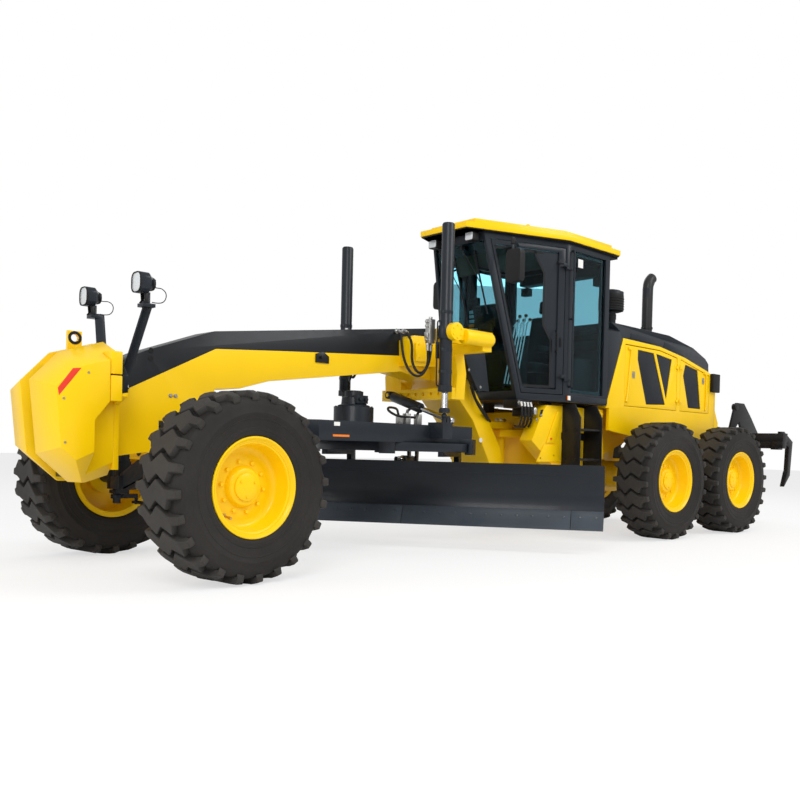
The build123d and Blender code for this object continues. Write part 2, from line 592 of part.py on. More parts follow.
def blade_carrier():
    """Tipping frame: cheeks on the circle arms' pins, with guides round the blade's two rails."""
    outer = ARM_Y - ARM_PLATE / 2 - CHEEK_GAP
    inner = outer - CHEEK_PLATE
    guide_front = BLADE_X - 110 - RAIL_GAP
    cheek = side_plate([(TIP_X - 50, TIP_Z - 50), (TIP_X + 50, TIP_Z - 60), (guide_front - 30, RAIL_Z[0] - 30),
                        (guide_front - 30, RAIL_Z[0] + 60), (TIP_X + 120, TIP_Z + 160),
                        (guide_front, RAIL_Z[1] - 30), (guide_front, RAIL_Z[1] + 40),
                        (guide_front - 70, RAIL_Z[1] + 40)], inner, outer)
    cheek -= bar((TIP_X, 0, TIP_Z), (TIP_X, 2 * ARM_Y, TIP_Z), TIP_PIN_R + FIT)
    high = block(guide_front - 45, guide_front, -outer, outer, RAIL_Z[1] - 36, RAIL_Z[1] + 36)
    low = block(guide_front - 60, guide_front - 30 - RAIL_GAP, -outer, outer, RAIL_Z[0] - 30, RAIL_Z[0] + 30)
    x, z = TIP_EYE
    lug = side_plate([(guide_front - 45, RAIL_Z[1] + 30), (guide_front, RAIL_Z[1] + 30), (x + 32, z + 28),
                      (x - 32, z + 28)], 34, 52)
    pin_head = bar((x, 50, z), (x, 62, z), 20)
    return on_blade(both_sides(cheek + lug + pin_head) + high + low)


def moldboard():
    """Curved blade with its two slide rails, drawn square across and turned to its rest angle."""
    mid_z = (BLADE_BOTTOM_Z + BLADE_TOP_Z) / 2
    front = [(BLADE_X + BLADE_FOOT, 0, BLADE_BOTTOM_Z), (BLADE_X - BLADE_HOLLOW, 0, mid_z),
             (BLADE_X + BLADE_HEAD, 0, BLADE_TOP_Z)]
    back = [(x - BLADE_PLATE, 0, z) for x, _, z in reversed(front)]
    wire = Wire([ThreePointArc(*front).edge(), Line(front[2], back[0]).edge(),
                 ThreePointArc(*back).edge(), Line(back[2], front[0]).edge()])
    plate = extrude(make_face(wire), amount=BLADE_LENGTH, dir=(0, 1, 0))
    blade = Pos(0, -BLADE_LENGTH / 2 + BLADE_OFFSET, 0) * plate
    low_z, high_z = RAIL_Z
    left, right = BLADE_OFFSET - RAIL_HALF, BLADE_OFFSET + RAIL_HALF
    blade += block(BLADE_X - 140, blade_back(low_z) + 14, left, right, low_z - 18, low_z + 18)
    blade += block(BLADE_X - 110, blade_back(high_z) + 14, left, right, high_z - 18, high_z + 18)
    return on_blade(blade)


def tip_cylinder():
    """Cylinder from the ring's rear lugs to the carrier, drawn square across like the blade."""
    return cylinder_pair((TIP_PIN[0], 0, TIP_PIN[1]), (TIP_EYE[0], 0, TIP_EYE[1]), 42, 20, 400, 24)


def make_blade_gear():
    export("drawbar", drawbar())
    export("circle", circle() + circle_arms())
    export("blade_carrier", blade_carrier())
    export("moldboard", moldboard())
    barrel, rod = tip_cylinder()
    export("tip_barrel", on_blade(barrel))
    export("tip_rod", on_blade(rod))


# ---- cylinders ---------------------------------------------------------------
def lift_barrel():
    x, y = LIFT_X, LIFT_Y
    barrel = bar((x, y, LIFT_BOTTOM_Z), (x, y, LIFT_TOP_Z), LIFT_BARREL_R)
    collar = bar((x, y, LIFT_TRUNNION_Z - 60), (x, y, LIFT_TRUNNION_Z + 60), LIFT_BARREL_R + 14)
    trunnions = bar((x, y - 128, LIFT_TRUNNION_Z), (x, y + 84, LIFT_TRUNNION_Z), 32)
    bore = bar((x, y, LIFT_BOTTOM_Z - 10), (x, y, LIFT_TOP_Z - 60), LIFT_ROD_R + FIT)
    return barrel + collar + trunnions - bore


def lift_rod():
    x, y = LIFT_X, LIFT_Y
    rod = bar((x, y, LIFT_BALL_Z + 50), (x, y, LIFT_TOP_Z - 480), LIFT_ROD_R)
    seat = LIFT_BALL_Z + LIFT_BALL_R + SEAT_GAP
    cap = bar((x, y, seat), (x, y, seat + 30), 48)
    cap += bar((x, y, seat + 30), (x, y, seat + 45), 38)
    return rod + cap


def shift_cylinder():
    """Centre-shift cylinder from the link bar down to the drawbar's left side."""
    start, end = Vector(*SHIFT_PIN), Vector(*SHIFT_EYE)
    along = (end - start).normalized()
    head = start + along * 70
    foot = start + along * 500
    barrel = bar(tuple(head), tuple(foot), 50)
    pin_x = SHIFT_PIN[0]
    tongue = bar((pin_x - 55, SHIFT_PIN[1], SHIFT_PIN[2]), (pin_x + 25, SHIFT_PIN[1], SHIFT_PIN[2]), 40)
    neck = bar(tuple(start + along * 20), tuple(head + along * 5), 20)
    bore = bar(tuple(start + along * 140), tuple(foot + along * 10), 25 + FIT)
    hole = bar((pin_x - 70, SHIFT_PIN[1], SHIFT_PIN[2]), (pin_x + 70, SHIFT_PIN[1], SHIFT_PIN[2]), 18 + FIT)
    body = barrel + tongue + neck - bore - hole
    rod = bar(tuple(start + along * 260), tuple(end), 25)
    eye = bar((pin_x - 22, SHIFT_EYE[1], SHIFT_EYE[2]), (pin_x + 22, SHIFT_EYE[1], SHIFT_EYE[2]), 38)
    return body, rod + eye


def make_cylinders():
    export("lift_barrel_left", lift_barrel())
    export("lift_barrel_right", other_side(lift_barrel()))
    export("lift_rod_left", lift_rod())
    export("lift_rod_right", other_side(lift_rod()))
    barrel, rod = shift_cylinder()
    export("shift_barrel", barrel)
    export("shift_rod", rod)


# ---- rear frame, tandems and engine ------------------------------------------
def rear_frame():
    """Two rails, the articulation clevis, side tanks under the cab and the tail."""
    rail = side_plate([(2140, 900), (2140, 1400), (1300, 1460), (-1250, 1460), (-1250, 1200),
                       (300, 1180), (1000, 940)], RAIL_INNER_Y, RAIL_OUTER_Y)
    front = block(2060, 2140, -380, 380, 640, 1400)
    cross = block(900, 960, -RAIL_INNER_Y, RAIL_INNER_Y, 950, 1440)
    cross += block(-1250, -1170, -RAIL_INNER_Y, RAIL_INNER_Y, 1180, 1460)
    tail = block(TAIL_X, -1250, -460, 460, 1000, 1460)
    clevis_plan = [(2140, -170), (ARTICULATION_X + 95, -80), (ARTICULATION_X + 95, 80), (2140, 170)]
    clevis = flat_plate(clevis_plan, 1120, 1200) + flat_plate(clevis_plan, 695, 775)
    pin = bar((ARTICULATION_X, 0, 600), (ARTICULATION_X, 0, 1295), ARTICULATION_PIN_R)
    tank = side_plate([(2560, 1080), (2400, 1380), (2330, 1460), (1480, 1460), (1480, 900),
                       (1700, 780), (2150, 780)], 470, 640)
    tank += side_plate([(1480, 1460), (1340, 1460), (1340, 1230), (1300, 900), (1480, 900)], 470, 640)
    tie = block(1500, 1560, 380, 470, 950, 1400) + block(2060, 2120, 380, 470, 950, 1400)
    hub = bar((0, RAIL_INNER_Y, TYRE_R + 30), (0, 560, TYRE_R + 30), 190)
    axle = bar((0, -RAIL_INNER_Y - 5, TYRE_R + 30), (0, RAIL_INNER_Y + 5, TYRE_R + 30), 170)
    saddle = side_plate([(-300, 1182), (300, 1182), (200, 700), (-200, 700)], RAIL_INNER_Y, RAIL_OUTER_Y)
    body = both_sides(rail + tank + tie + hub + saddle) + front + cross + tail + clevis + pin + axle
    return body + ripper_bracket()


def tandem_cases():
    """Chain cases between the frame and the two wheels of each side, with their hub spindles."""
    half = TANDEM_SPACING / 2
    inner, outer = 600.0, 830.0
    case = block(-half, half, inner, outer, TYRE_R - 230, TYRE_R + 230)
    case += side_plate([(-420, 880), (420, 880), (250, 1010), (-250, 1010)], inner, outer)
    flange = bar((0, 560, TYRE_R + 30), (0, inner, TYRE_R + 30), 200)
    for x in (-half, half):
        case += bar((x, inner, TYRE_R), (x, outer, TYRE_R), 230)
        case += bar((x, outer, TYRE_R), (x, WHEEL_Y - 60, TYRE_R), 110)
        case += bar((x, WHEEL_Y - 60, TYRE_R), (x, WHEEL_Y + 50, TYRE_R), HUB_BORE_R)
    return both_sides(case + flange)


STACKS = [  # x, y, radius of what stands up through the cover
    (-480.0, 0.0, 70.0),
    (690.0, 250.0, 60.0),
]


def engine():
    """The engine as one heavy block, with its exhaust stack and air cleaner standing up from it."""
    top = 1950.0
    heavy = block(-650, 760, -RAIL_INNER_Y, RAIL_INNER_Y, 1190, top)
    (x, y, r), (clean_x, clean_y, clean_r) = STACKS
    pipe = bar((x, y, top), (x, y, 3180), r) + bar((x, y, 3165), (x - 90, y, 3330), r - 12)
    cleaner = bar((clean_x, clean_y, top), (clean_x, clean_y, 2720), clean_r)
    cleaner += bar((clean_x, clean_y, 2700), (clean_x, clean_y, 2930), 150)
    return heavy + pipe + cleaner


HOOD_EDGE = [  # x, z along the top of the side frames, front to rear
    (HOOD_FRONT_X, 2300.0),
    (280.0, 2280.0),
    (-300.0, 2200.0),
    (-890.0, 2070.0),
    (HOOD_REAR_X, 2000.0),
]


def hood_profile(inset, y_half):
    (front_x, front_z), *middle, (rear_x, rear_z) = HOOD_EDGE
    return side_plate([(front_x + 320 - inset, HOOD_SEAM_Z + inset), (front_x - inset, front_z - inset)]
                      + [(x, z - inset) for x, z in middle]
                      + [(rear_x + inset, rear_z - inset), (rear_x + inset, HOOD_SEAM_Z + inset)],
                      -y_half, y_half)


DOORS = [  # name, front x, rear x, hinge x (the other edge carries the handle)
    ("front", 1010.0, HOOD_HINGE_X + 40, HOOD_HINGE_X + 28),
    ("rear", HOOD_HINGE_X - 40, -930.0, HOOD_HINGE_X - 28),
]
HOOD_PANELS = {  # sunk dark panels of each door, as X, Z corners
    "front": [[(750, 2200), (410, 2190), (130, 1580), (550, 1560), (750, 2080)],
              [(360, 2190), (0, 2150), (110, 1640)]],
    "rear": [[(-320, 2120), (-620, 2070), (-720, 1570), (-410, 1570), (-270, 1970)]],
}
PANEL_SUNK = 8.0


HOOD_HINGE_Y = HOOD_HALF + 4.0
HOOD_HINGE_HEIGHTS = (1640.0, 2060.0)
HOOD_PIN_R = 6.0
DOOR_EDGE_GAP = 6.0
DOOR_HEAD_GAP = 11.0          # the hinged edge swings in under the sloping head


def hood_hinges(hinge):
    """Recesses in the left door post at one door's hinge line, and the pins that cross them."""
    recesses, pins = None, None
    for z in HOOD_HINGE_HEIGHTS:
        recess = block(hinge - 15, hinge + 15, HOOD_HINGE_Y - 15, HOOD_HINGE_Y + 1, z - 17, z + 17)
        pin = bar((hinge, HOOD_HINGE_Y, z - 45), (hinge, HOOD_HINGE_Y, z + 45), HOOD_PIN_R)
        recesses = recess if recesses is None else recesses + recess
        pins = pin if pins is None else pins + pin
    return recesses, pins


def door_outline(front, rear, gap, head_gap):
    """X, Z corners of a hood door or its opening, under the sloping top edge."""
    def top(x):
        if x > 280:
            return 2240.0
        if x > -300:
            return 2240.0 - (280 - x) * 80 / 580
        return 2160.0 - (-300 - x) * 130 / 590
    head = [(front - gap, top(front) - head_gap), (rear + gap, top(rear) - head_gap)]
    if front > 280 > rear:
        head.insert(1, (280, top(280) - head_gap))
    return [(front - gap, 1520 + gap)] + head + [(rear + gap, 1520 + gap)]


def hood_body():
    """Yellow side frames of the hood with the lower skirts and the tail panel."""
    shell = hood_profile(0, HOOD_HALF) - hood_profile(HOOD_WALL, HOOD_HALF - HOOD_WALL)
    shell -= block(-2000, 2000, -HOOD_HALF + HOOD_WALL, HOOD_HALF - HOOD_WALL, 2010, 2400)
    shell -= block(-2000, 2000, -500, 500, HOOD_SEAM_Z - 10, HOOD_SEAM_Z + HOOD_WALL + 10)
    for _, front, rear, hinge in DOORS:
        opening = side_plate(door_outline(front, rear, 0, 0), 400, 900)
        recesses, pins = hood_hinges(hinge)
        shell = shell - both_sides(opening + recesses) + both_sides(pins)
    skirt = side_plate([(1300, HOOD_SEAM_Z), (1300, 1230), (900, 1180), (HOOD_REAR_X, 1180),
                        (HOOD_REAR_X, HOOD_SEAM_Z)], HOOD_HALF - HOOD_WALL, HOOD_HALF)
    skirt += block(HOOD_REAR_X, HOOD_FRONT_X, 340, HOOD_HALF - 10, HOOD_SEAM_Z - 20, HOOD_SEAM_Z)
    grille = block(HOOD_REAR_X - 10, HOOD_REAR_X, -480, 480, 1560, 1960)
    for slat in range(9):
        z = 1585 + slat * 43
        grille += block(HOOD_REAR_X - 30, HOOD_REAR_X, -465, 465, z, z + 14)
    tail_lamp = block(HOOD_REAR_X - 25, DOORS[1][2] - 15, HOOD_HALF, HOOD_HALF + 50, 1810, 2000)
    return shell + both_sides(skirt + tail_lamp) + grille


def hood_top():
    """Dark upper cover with chamfered sides, resting on the side frames."""
    low = side_plate([(HOOD_FRONT_X + 60, HOOD_EDGE[0][1])] + HOOD_EDGE
                     + [(-1290, 2180), (-1290, 2290), (-1100, 2340), (-100, 2470), (880, 2490),
                        (HOOD_FRONT_X + 60, 2490)], -HOOD_HALF + 10, HOOD_HALF - 10)
    for sign in (1, -1):
        cutter = Pos(0, sign * (HOOD_HALF + 10), 2560) * Rot(sign * -40, 0, 0) * Box(4000, 400, 300)
        low -= cutter
    for x, y, r in STACKS:
        low -= bar((x, y, 1900), (x, y, 2700), r + 4)
    return low


def hood_door(front, rear, hinge, panels):
    """Left-hand hood door with its sunk panels and a strap at each of its two hinge pins."""
    door = side_plate(door_outline(front, rear, DOOR_EDGE_GAP, DOOR_HEAD_GAP), HOOD_HALF - 34, HOOD_HALF - 2)
    for outline in panels:
        door -= side_plate(outline, HOOD_HALF - 2 - PANEL_SUNK, HOOD_HALF + 20)
    edge = rear + DOOR_EDGE_GAP if hinge < front and front > 0 else front - DOOR_EDGE_GAP
    inward = math.copysign(22, edge - hinge)
    for z in HOOD_HINGE_HEIGHTS:
        door += block(hinge, edge + inward, HOOD_HINGE_Y - 8, HOOD_HINGE_Y + 8, z - 15, z + 15)
        door += bar((hinge, HOOD_HINGE_Y, z - 15), (hinge, HOOD_HINGE_Y, z + 15), HOOD_PIN_R + 5)
        door -= bar((hinge, HOOD_HINGE_Y, z - 60), (hinge, HOOD_HINGE_Y, z + 60), HOOD_PIN_R + 2 * FIT)
    return door


def make_rear_frame():
    export("rear_frame", rear_frame())
    export("tandem_cases", tandem_cases())
    export("engine_block", engine())
    export("hood_body", hood_body())
    export("hood_top", hood_top())
    for name, front, rear, hinge in DOORS:
        door = hood_door(front, rear, hinge, HOOD_PANELS[name])
        export(f"hood_door_{name}_left", door)
        export(f"hood_door_{name}_right", other_side(door))


# ---- cab ---------------------------------------------------------------------
def cab_plan(front_x, inset):
    """Half hexagon in plan: narrow front, parallel rear sides; corners from front left round."""
    slope = math.hypot(1, CAB_TAPER)
    y_front = CAB_HALF - CAB_TAPER * (front_x - CAB_PILLAR_X)
    y_front = y_front - inset * (slope - CAB_TAPER)
    x_pillar = CAB_PILLAR_X - inset * (slope - 1) / CAB_TAPER
    half = CAB_HALF - inset
    return [(front_x - inset, y_front), (x_pillar, half), (CAB_REAR_X + inset, half),
            (CAB_REAR_X + inset, -half), (x_pillar, -half), (front_x - inset, -y_front)]


def cab_prism(z0, z1, inset):
    """Solid between two levels inside the cab's outer faces."""
    lean = (CAB_FRONT_TOP_X - CAB_FRONT_LOW_X) / (CAB_TOP_Z - CAB_FLOOR_Z)
    low_x = CAB_FRONT_LOW_X + lean * (z0 - CAB_FLOOR_Z)
    top_x = CAB_FRONT_LOW_X + lean * (z1 - CAB_FLOOR_Z)
    faces = [make_face(Polyline(*[(x, y, z) for x, y in cab_plan(front, inset)], close=True))
             for z, front in ((z0, low_x), (z1, top_x))]
    return loft(faces, ruled=True)


def cab_door_plane():
    """Plane of the left door: origin at the pillar, x forward along the door, z outwards."""
    along = Vector(1, -CAB_TAPER, 0).normalized()
    outwards = Vector(CAB_TAPER, 1, 0).normalized()
    return Plane(origin=(CAB_PILLAR_X, CAB_HALF, 0), x_dir=along, z_dir=outwards)


DOOR_REAR = 40.0              # along the door plane, from the pillar's corner
DOOR_LOW_Z = CAB_FLOOR_Z + 70
DOOR_HIGH_Z = CAB_TOP_Z - 70


def door_front(z, margin):
    """Distance along the door plane of its leaning front edge at a height."""
    lean = (CAB_FRONT_TOP_X - CAB_FRONT_LOW_X) / (CAB_TOP_Z - CAB_FLOOR_Z)
    x = CAB_FRONT_LOW_X + lean * (z - CAB_FLOOR_Z)
    return (x - CAB_PILLAR_X) * math.hypot(1, CAB_TAPER) - margin


def door_slab(margin, out0, out1, cut_rear=0.0):
    """Trapezoid in the door's plane, 'margin' inside the doorway, from depth out0 to out1."""
    z0, z1 = DOOR_LOW_Z + margin, DOOR_HIGH_Z - margin
    rear = DOOR_REAR + margin + cut_rear
    # the plane's y axis points down, so heights are negative there
    down = -1 if cab_door_plane().y_dir.Z < 0 else 1
    corners = [(rear, down * z0), (door_front(z0, 60 + margin), down * z0),
               (door_front(z1, 60 + margin), down * z1), (rear, down * z1)]
    face = cab_door_plane() * make_face(Polyline(*[(a, b, 0) for a, b in corners], close=True))
    shape = extrude(face, amount=out1 - out0, dir=tuple(cab_door_plane().z_dir))
    shift = cab_door_plane().z_dir * out0
    return Pos(*tuple(shift)) * shape


def cab_frame():
    """Cab shell: floor, pillars, sills and headers with every window and doorway cut through."""
    shell = cab_prism(CAB_FLOOR_Z, CAB_TOP_Z, 0) - cab_prism(CAB_FLOOR_Z + 50, CAB_TOP_Z + 20, CAB_WALL)
    shell -= both_sides(door_slab(0, -200, 100))
    side_window = block(CAB_REAR_X + 80, CAB_PILLAR_X - 70, CAB_HALF - 120, CAB_HALF + 50,
                        CAB_FLOOR_Z + 100, CAB_TOP_Z - 80)
    shell -= both_sides(side_window)
    shell -= block(CAB_REAR_X - 50, CAB_REAR_X + 80, -CAB_HALF + 110, CAB_HALF - 110, 2120, CAB_TOP_Z - 100)
    shell -= block(CAB_FRONT_LOW_X - 150, CAB_FRONT_TOP_X + 200, -360, 360, CAB_FLOOR_Z + 90, CAB_TOP_Z - 90)
    mounts = block(1500, 1600, 380, 470, 1460, 1500) + block(2050, 2150, 380, 470, 1400, 1500)
    return shell + both_sides(mounts + cab_hinge_brackets())


def cab_roof():
    """Two-step roof with a brow over the windscreen."""
    low = flat_plate([(3290, 340), (2200, 800), (1300, 800), (1230, 700), (1230, -700), (1300, -800),
                      (2200, -800), (3290, -340)], CAB_TOP_Z, CAB_TOP_Z + 55)
    top = flat_plate([(3150, 320), (2180, 720), (1360, 720), (1360, -720), (2180, -720), (3150, -320)],
                     CAB_TOP_Z + 55, CAB_TOP_Z + 115)
    eye = Rot(90, 0, 0) * (Cylinder(34, 14) - Cylinder(18, 20))
    eyes = Pos(1560, 560, CAB_TOP_Z + 145) * eye + Pos(2450, 420, CAB_TOP_Z + 145) * eye
    lamp = block(3105, 3175, 215, 325, CAB_TOP_Z - 105, CAB_TOP_Z - 25)
    bracket = block(3110, 3160, 262, 278, CAB_TOP_Z - 30, CAB_TOP_Z)
    return low + top + both_sides(eyes + lamp + bracket)


def cab_glass():
    """Fixed panes: windscreen, two rear side windows and the rear window."""
    lean = (CAB_FRONT_TOP_X - CAB_FRONT_LOW_X) / (CAB_TOP_Z - CAB_FLOOR_Z)
    z0, z1 = CAB_FLOOR_Z + 90 + SEAT_GAP, CAB_TOP_Z - 90 - SEAT_GAP
    x0 = CAB_FRONT_LOW_X + lean * (z0 - CAB_FLOOR_Z) - 20
    x1 = CAB_FRONT_LOW_X + lean * (z1 - CAB_FLOOR_Z) - 20
    screen_half = 360 - SEAT_GAP
    screen = side_plate([(x0, z0), (x1, z1), (x1 - GLASS, z1), (x0 - GLASS, z0)], -screen_half, screen_half)
    side = block(CAB_REAR_X + 80 + SEAT_GAP, CAB_PILLAR_X - 70 - SEAT_GAP, CAB_HALF - 20 - GLASS, CAB_HALF - 20,
                 CAB_FLOOR_Z + 100 + SEAT_GAP, CAB_TOP_Z - 80 - SEAT_GAP)
    rear_half = CAB_HALF - 110 - SEAT_GAP
    rear = block(CAB_REAR_X + 20, CAB_REAR_X + 20 + GLASS, -rear_half, rear_half,
                 2120 + SEAT_GAP, CAB_TOP_Z - 100 - SEAT_GAP)
    return screen, both_sides(side), rear


LEFT_MIRROR_X = 3120.0
RIGHT_MIRROR_X = 2440.0       # set further back, abreast of the seat
HINGE = (CAB_PILLAR_X + 45.0, CAB_HALF + 8.0)
HINGE_PIN_R = 9.0
HINGE_HEIGHTS = (CAB_FLOOR_Z + 260.0, CAB_TOP_Z - 260.0)


def cab_hinge_brackets():
    """The left pillar's two hinge brackets with their pins."""
    x, y = HINGE
    shape = None
    for z in HINGE_HEIGHTS:
        pair = block(CAB_PILLAR_X - 40, x + 12, CAB_HALF - 6, y + 12, z - 40, z - 15)
        pair += bar((x, y, z - 40), (x, y, z + 24), HINGE_PIN_R)
        shape = pair if shape is None else shape + pair
    return shape


def cab_door(mirror_x):
    """Left cab door: frame with a broad lower rear corner, hinge straps and mirror arm."""
    frame = door_slab(DOOR_GAP, -DOOR_THICK, 0)
    frame -= door_slab(55, -DOOR_THICK - 10, 10, cut_rear=30)
    x, y = HINGE
    for z in HINGE_HEIGHTS:
        level = z - 15 + SEAT_GAP
        frame += block(x, x + 60, y - 50, y + 8, level, z + 20)
        frame += bar((x, y, level), (x, y, z + 20), HINGE_PIN_R + 7)
        frame -= bar((x, y, level - 40), (x, y, z + 60), HINGE_PIN_R + FIT)
    foot_x = min(mirror_x, 2700)
    foot_y = CAB_HALF - CAB_TAPER * (foot_x - CAB_PILLAR_X) - 20
    mirror_y = max(880, foot_y + 130)
    arm = bar((foot_x, foot_y, 3082), (mirror_x + 6, mirror_y, 3030), 14)
    arm += bar((mirror_x, mirror_y, 3040), (mirror_x, mirror_y, 2900), 14)
    mirror = block(mirror_x - 30, mirror_x + 30, mirror_y - 50, mirror_y + 120, 2610, 2910)
    return frame + arm + mirror


def door_glass():
    return door_slab(55 + 2 * SEAT_GAP, -26, -20, cut_rear=30)


def seat():
    """Suspension seat with cushion, back, head rest and arm rests."""
    base = block(1650, 2000, -200, 200, CAB_FLOOR_Z + 50, 1850)
    cushion = block(1600, 2120, -250, 250, 1850, 1970)
    back = side_plate([(1640, 1970), (1760, 1970), (1640, 2560), (1540, 2560)], -240, 240)
    head_z = 2560 + SEAT_GAP
    head = side_plate([(1550, head_z), (1640, head_z), (1620, 2740), (1540, 2740)], -130, 130)
    return base, cushion + back + head


def controls():
    """Steering column with wheel, and the two banks of levers."""
    column = beam_between((2476, 0, CAB_FLOOR_Z + 90), (2420, 0, 2120), 150, 130)
    column += block(2380, 2570, -100, 100, CAB_FLOOR_Z + 50, CAB_FLOOR_Z + 110)
    wheel = Pos(2360, 0, 2210) * Rot(0, -35, 0) * (Cylinder(210, 28) - Cylinder(180, 40))
    spokes = Pos(2360, 0, 2210) * Rot(0, -35, 0) * (Box(30, 380, 14) + Box(380, 30, 14))
    head = bar((2425, 0, 2090), (2362, 0, 2206), 40)
    consoles = both_sides(block(2300, 2560, 150, 330, CAB_FLOOR_Z + 50, 2060))
    return column + wheel + spokes + head + consoles


def steps():
    """Ladders at each side: two cheeks with two treads, hung from the tank."""
    shape = None
    for x in (1690, 2070):
        cheek = cross_plate([(650, 820), (900, 820), (900, 1340), (820, 1480), (650, 1480)], x, x + 12)
        shape = cheek if shape is None else shape + cheek
    treads = block(1702, 2070, 660, 880, 880, 900) + block(1702, 2070, 660, 880, 1200, 1220)
    hang = block(1690, 2082, 640, 655, 1100, 1180)
    return both_sides(shape + treads + hang)


def ripper_bracket():
    """Plates on the tail that carry the ripper's arms and the top of its cylinder."""
    px, pz = RIPPER_PIVOT
    cx, cz = RIPPER_PIN
    back = TAIL_X
    plate = side_plate([(back, 1000), (back, 1460), (back - 60, 1660), (back - 190, 1680),
                        (back - 330, 1420), (px - 70, pz + 60), (px - 70, pz - 60), (px + 40, pz - 60)],
                       430, 460)
    pin = bar((px, 430, pz), (px, 540, pz), 30)
    top = bar((back - 150, -430, 1300), (back - 150, 430, 1300), 35)
    lug = side_plate([(back, 1500), (back, 1600), (cx - 30, cz + 40), (cx - 45, cz), (cx - 30, cz - 40)], 34, 56)
    lug_pin = bar((cx, -56, cz), (cx, 56, cz), 18)
    plate_across = block(back - 30, back, -460, 460, 1000, 1640)
    return both_sides(plate + pin + lug) + lug_pin + plate_across + top


def ripper_beam():
    """Arms, toolbar and shanks."""
    px, pz = RIPPER_PIVOT
    bx, bz = RIPPER_BAR
    arm = side_plate([(px + 55, pz - 55), (px + 55, pz + 55), (bx + 200, bz + 40), (bx, bz + 60),
                      (bx, bz - 60), (bx + 150, bz - 80)], 475, 520)
    arm -= bar((px, 400, pz), (px, 600, pz), 30 + FIT)
    toolbar = block(bx - 90, bx + 60, -1080, 1080, bz - 60, bz + 60)
    shape = both_sides(arm) + toolbar
    shank = side_plate([(bx - 90, bz + 90), (bx - 180, bz + 90), (RIPPER_REAR, 1200), (-2800, 720),
                        (-2620, 560), (-2710, 760), (-2740, 1120), (bx - 90, bz - 40)], -30, 30)
    for row in range(5):
        shape += Pos(0, (row - 2) * 480.0, 0) * shank
    ex, ez = RIPPER_EYE
    lug = side_plate([(bx - 60, bz + 60), (bx + 60, bz + 60), (ex + 30, ez + 30), (ex - 30, ez + 30)], 36, 56)
    pin_head = bar((ex, 54, ez), (ex, 68, ez), 20)
    return shape + both_sides(lug + pin_head)


def ripper_cylinder():
    return cylinder_pair((RIPPER_PIN[0], 0, RIPPER_PIN[1]), (RIPPER_EYE[0], 0, RIPPER_EYE[1]), 50, 25, 760, 26)


def make_cab_and_tail():
    export("cab_frame", cab_frame())
    export("cab_roof", cab_roof())
    export("cab_glass", *cab_glass())
    export("cab_door_left", cab_door(LEFT_MIRROR_X))
    export("cab_door_right", other_side(cab_door(RIGHT_MIRROR_X)))
    export("door_glass_left", door_glass())
    export("door_glass_right", other_side(door_glass()))
    base, soft = seat()
    export("cab_seat", soft)
    export("cab_controls", controls(), base)
    export("side_steps", steps())
    export("ripper_beam", ripper_beam())
    barrel, rod = ripper_cylinder()
    export("ripper_barrel", barrel)
    export("ripper_rod", rod)


make_wheels()
make_front_axle()
make_front_frame()
make_blade_gear()
make_cylinders()
make_rear_frame()
make_cab_and_tail()
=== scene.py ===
import bpy
import bmesh
import json
import math
from mathutils import Matrix, Vector

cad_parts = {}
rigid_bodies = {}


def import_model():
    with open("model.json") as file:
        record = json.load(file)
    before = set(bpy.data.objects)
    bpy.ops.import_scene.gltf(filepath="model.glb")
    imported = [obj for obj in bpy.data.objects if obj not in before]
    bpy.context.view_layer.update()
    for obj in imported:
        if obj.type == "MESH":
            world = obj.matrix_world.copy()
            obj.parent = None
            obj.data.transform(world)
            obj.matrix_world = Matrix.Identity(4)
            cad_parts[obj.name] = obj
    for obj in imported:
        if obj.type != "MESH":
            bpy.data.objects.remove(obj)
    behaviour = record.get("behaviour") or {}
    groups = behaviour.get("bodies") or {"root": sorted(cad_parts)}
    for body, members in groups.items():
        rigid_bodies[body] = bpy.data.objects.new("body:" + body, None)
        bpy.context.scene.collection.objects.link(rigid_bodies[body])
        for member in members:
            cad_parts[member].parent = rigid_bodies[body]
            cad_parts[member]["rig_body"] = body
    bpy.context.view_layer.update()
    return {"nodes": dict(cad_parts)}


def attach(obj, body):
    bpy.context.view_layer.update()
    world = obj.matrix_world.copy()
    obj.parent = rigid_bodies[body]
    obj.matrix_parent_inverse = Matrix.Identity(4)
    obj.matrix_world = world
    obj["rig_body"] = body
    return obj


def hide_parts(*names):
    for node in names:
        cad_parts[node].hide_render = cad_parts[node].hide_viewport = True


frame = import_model()
for leftover in [o for o in bpy.data.objects if o.type in ("CAMERA", "LIGHT")]:
    bpy.data.objects.remove(leftover)

# Camera: stands ahead of the machine's left front wheel at eye height, with a normal lens.
eye = Vector((7.142, 6.465, 0.960))
yaw, pitch, roll = math.radians(44.116), math.radians(-0.893), math.radians(1.39)
ahead = Vector((-math.cos(yaw) * math.cos(pitch), -math.sin(yaw) * math.cos(pitch), math.sin(pitch)))
right = Vector((-math.sin(yaw), math.cos(yaw), 0))
up = right.cross(ahead)
right, up = (right * math.cos(roll) + up * math.sin(roll), up * math.cos(roll) - right * math.sin(roll))
lens = bpy.data.cameras.new("view")
lens.lens, lens.sensor_width = 38.74, 36.0
lens.shift_x, lens.shift_y = -0.0997, 0.0803
lens.clip_end = 200
turn = Matrix((right, up, -ahead)).transposed().to_4x4()


def placed(name, data):
    """A new object in the scene."""
    thing = bpy.data.objects.new(name, data)
    bpy.context.scene.collection.objects.link(thing)
    return thing


camera = placed("view", lens)
camera.matrix_world = Matrix.Translation(eye) @ turn
bpy.context.scene.camera = camera

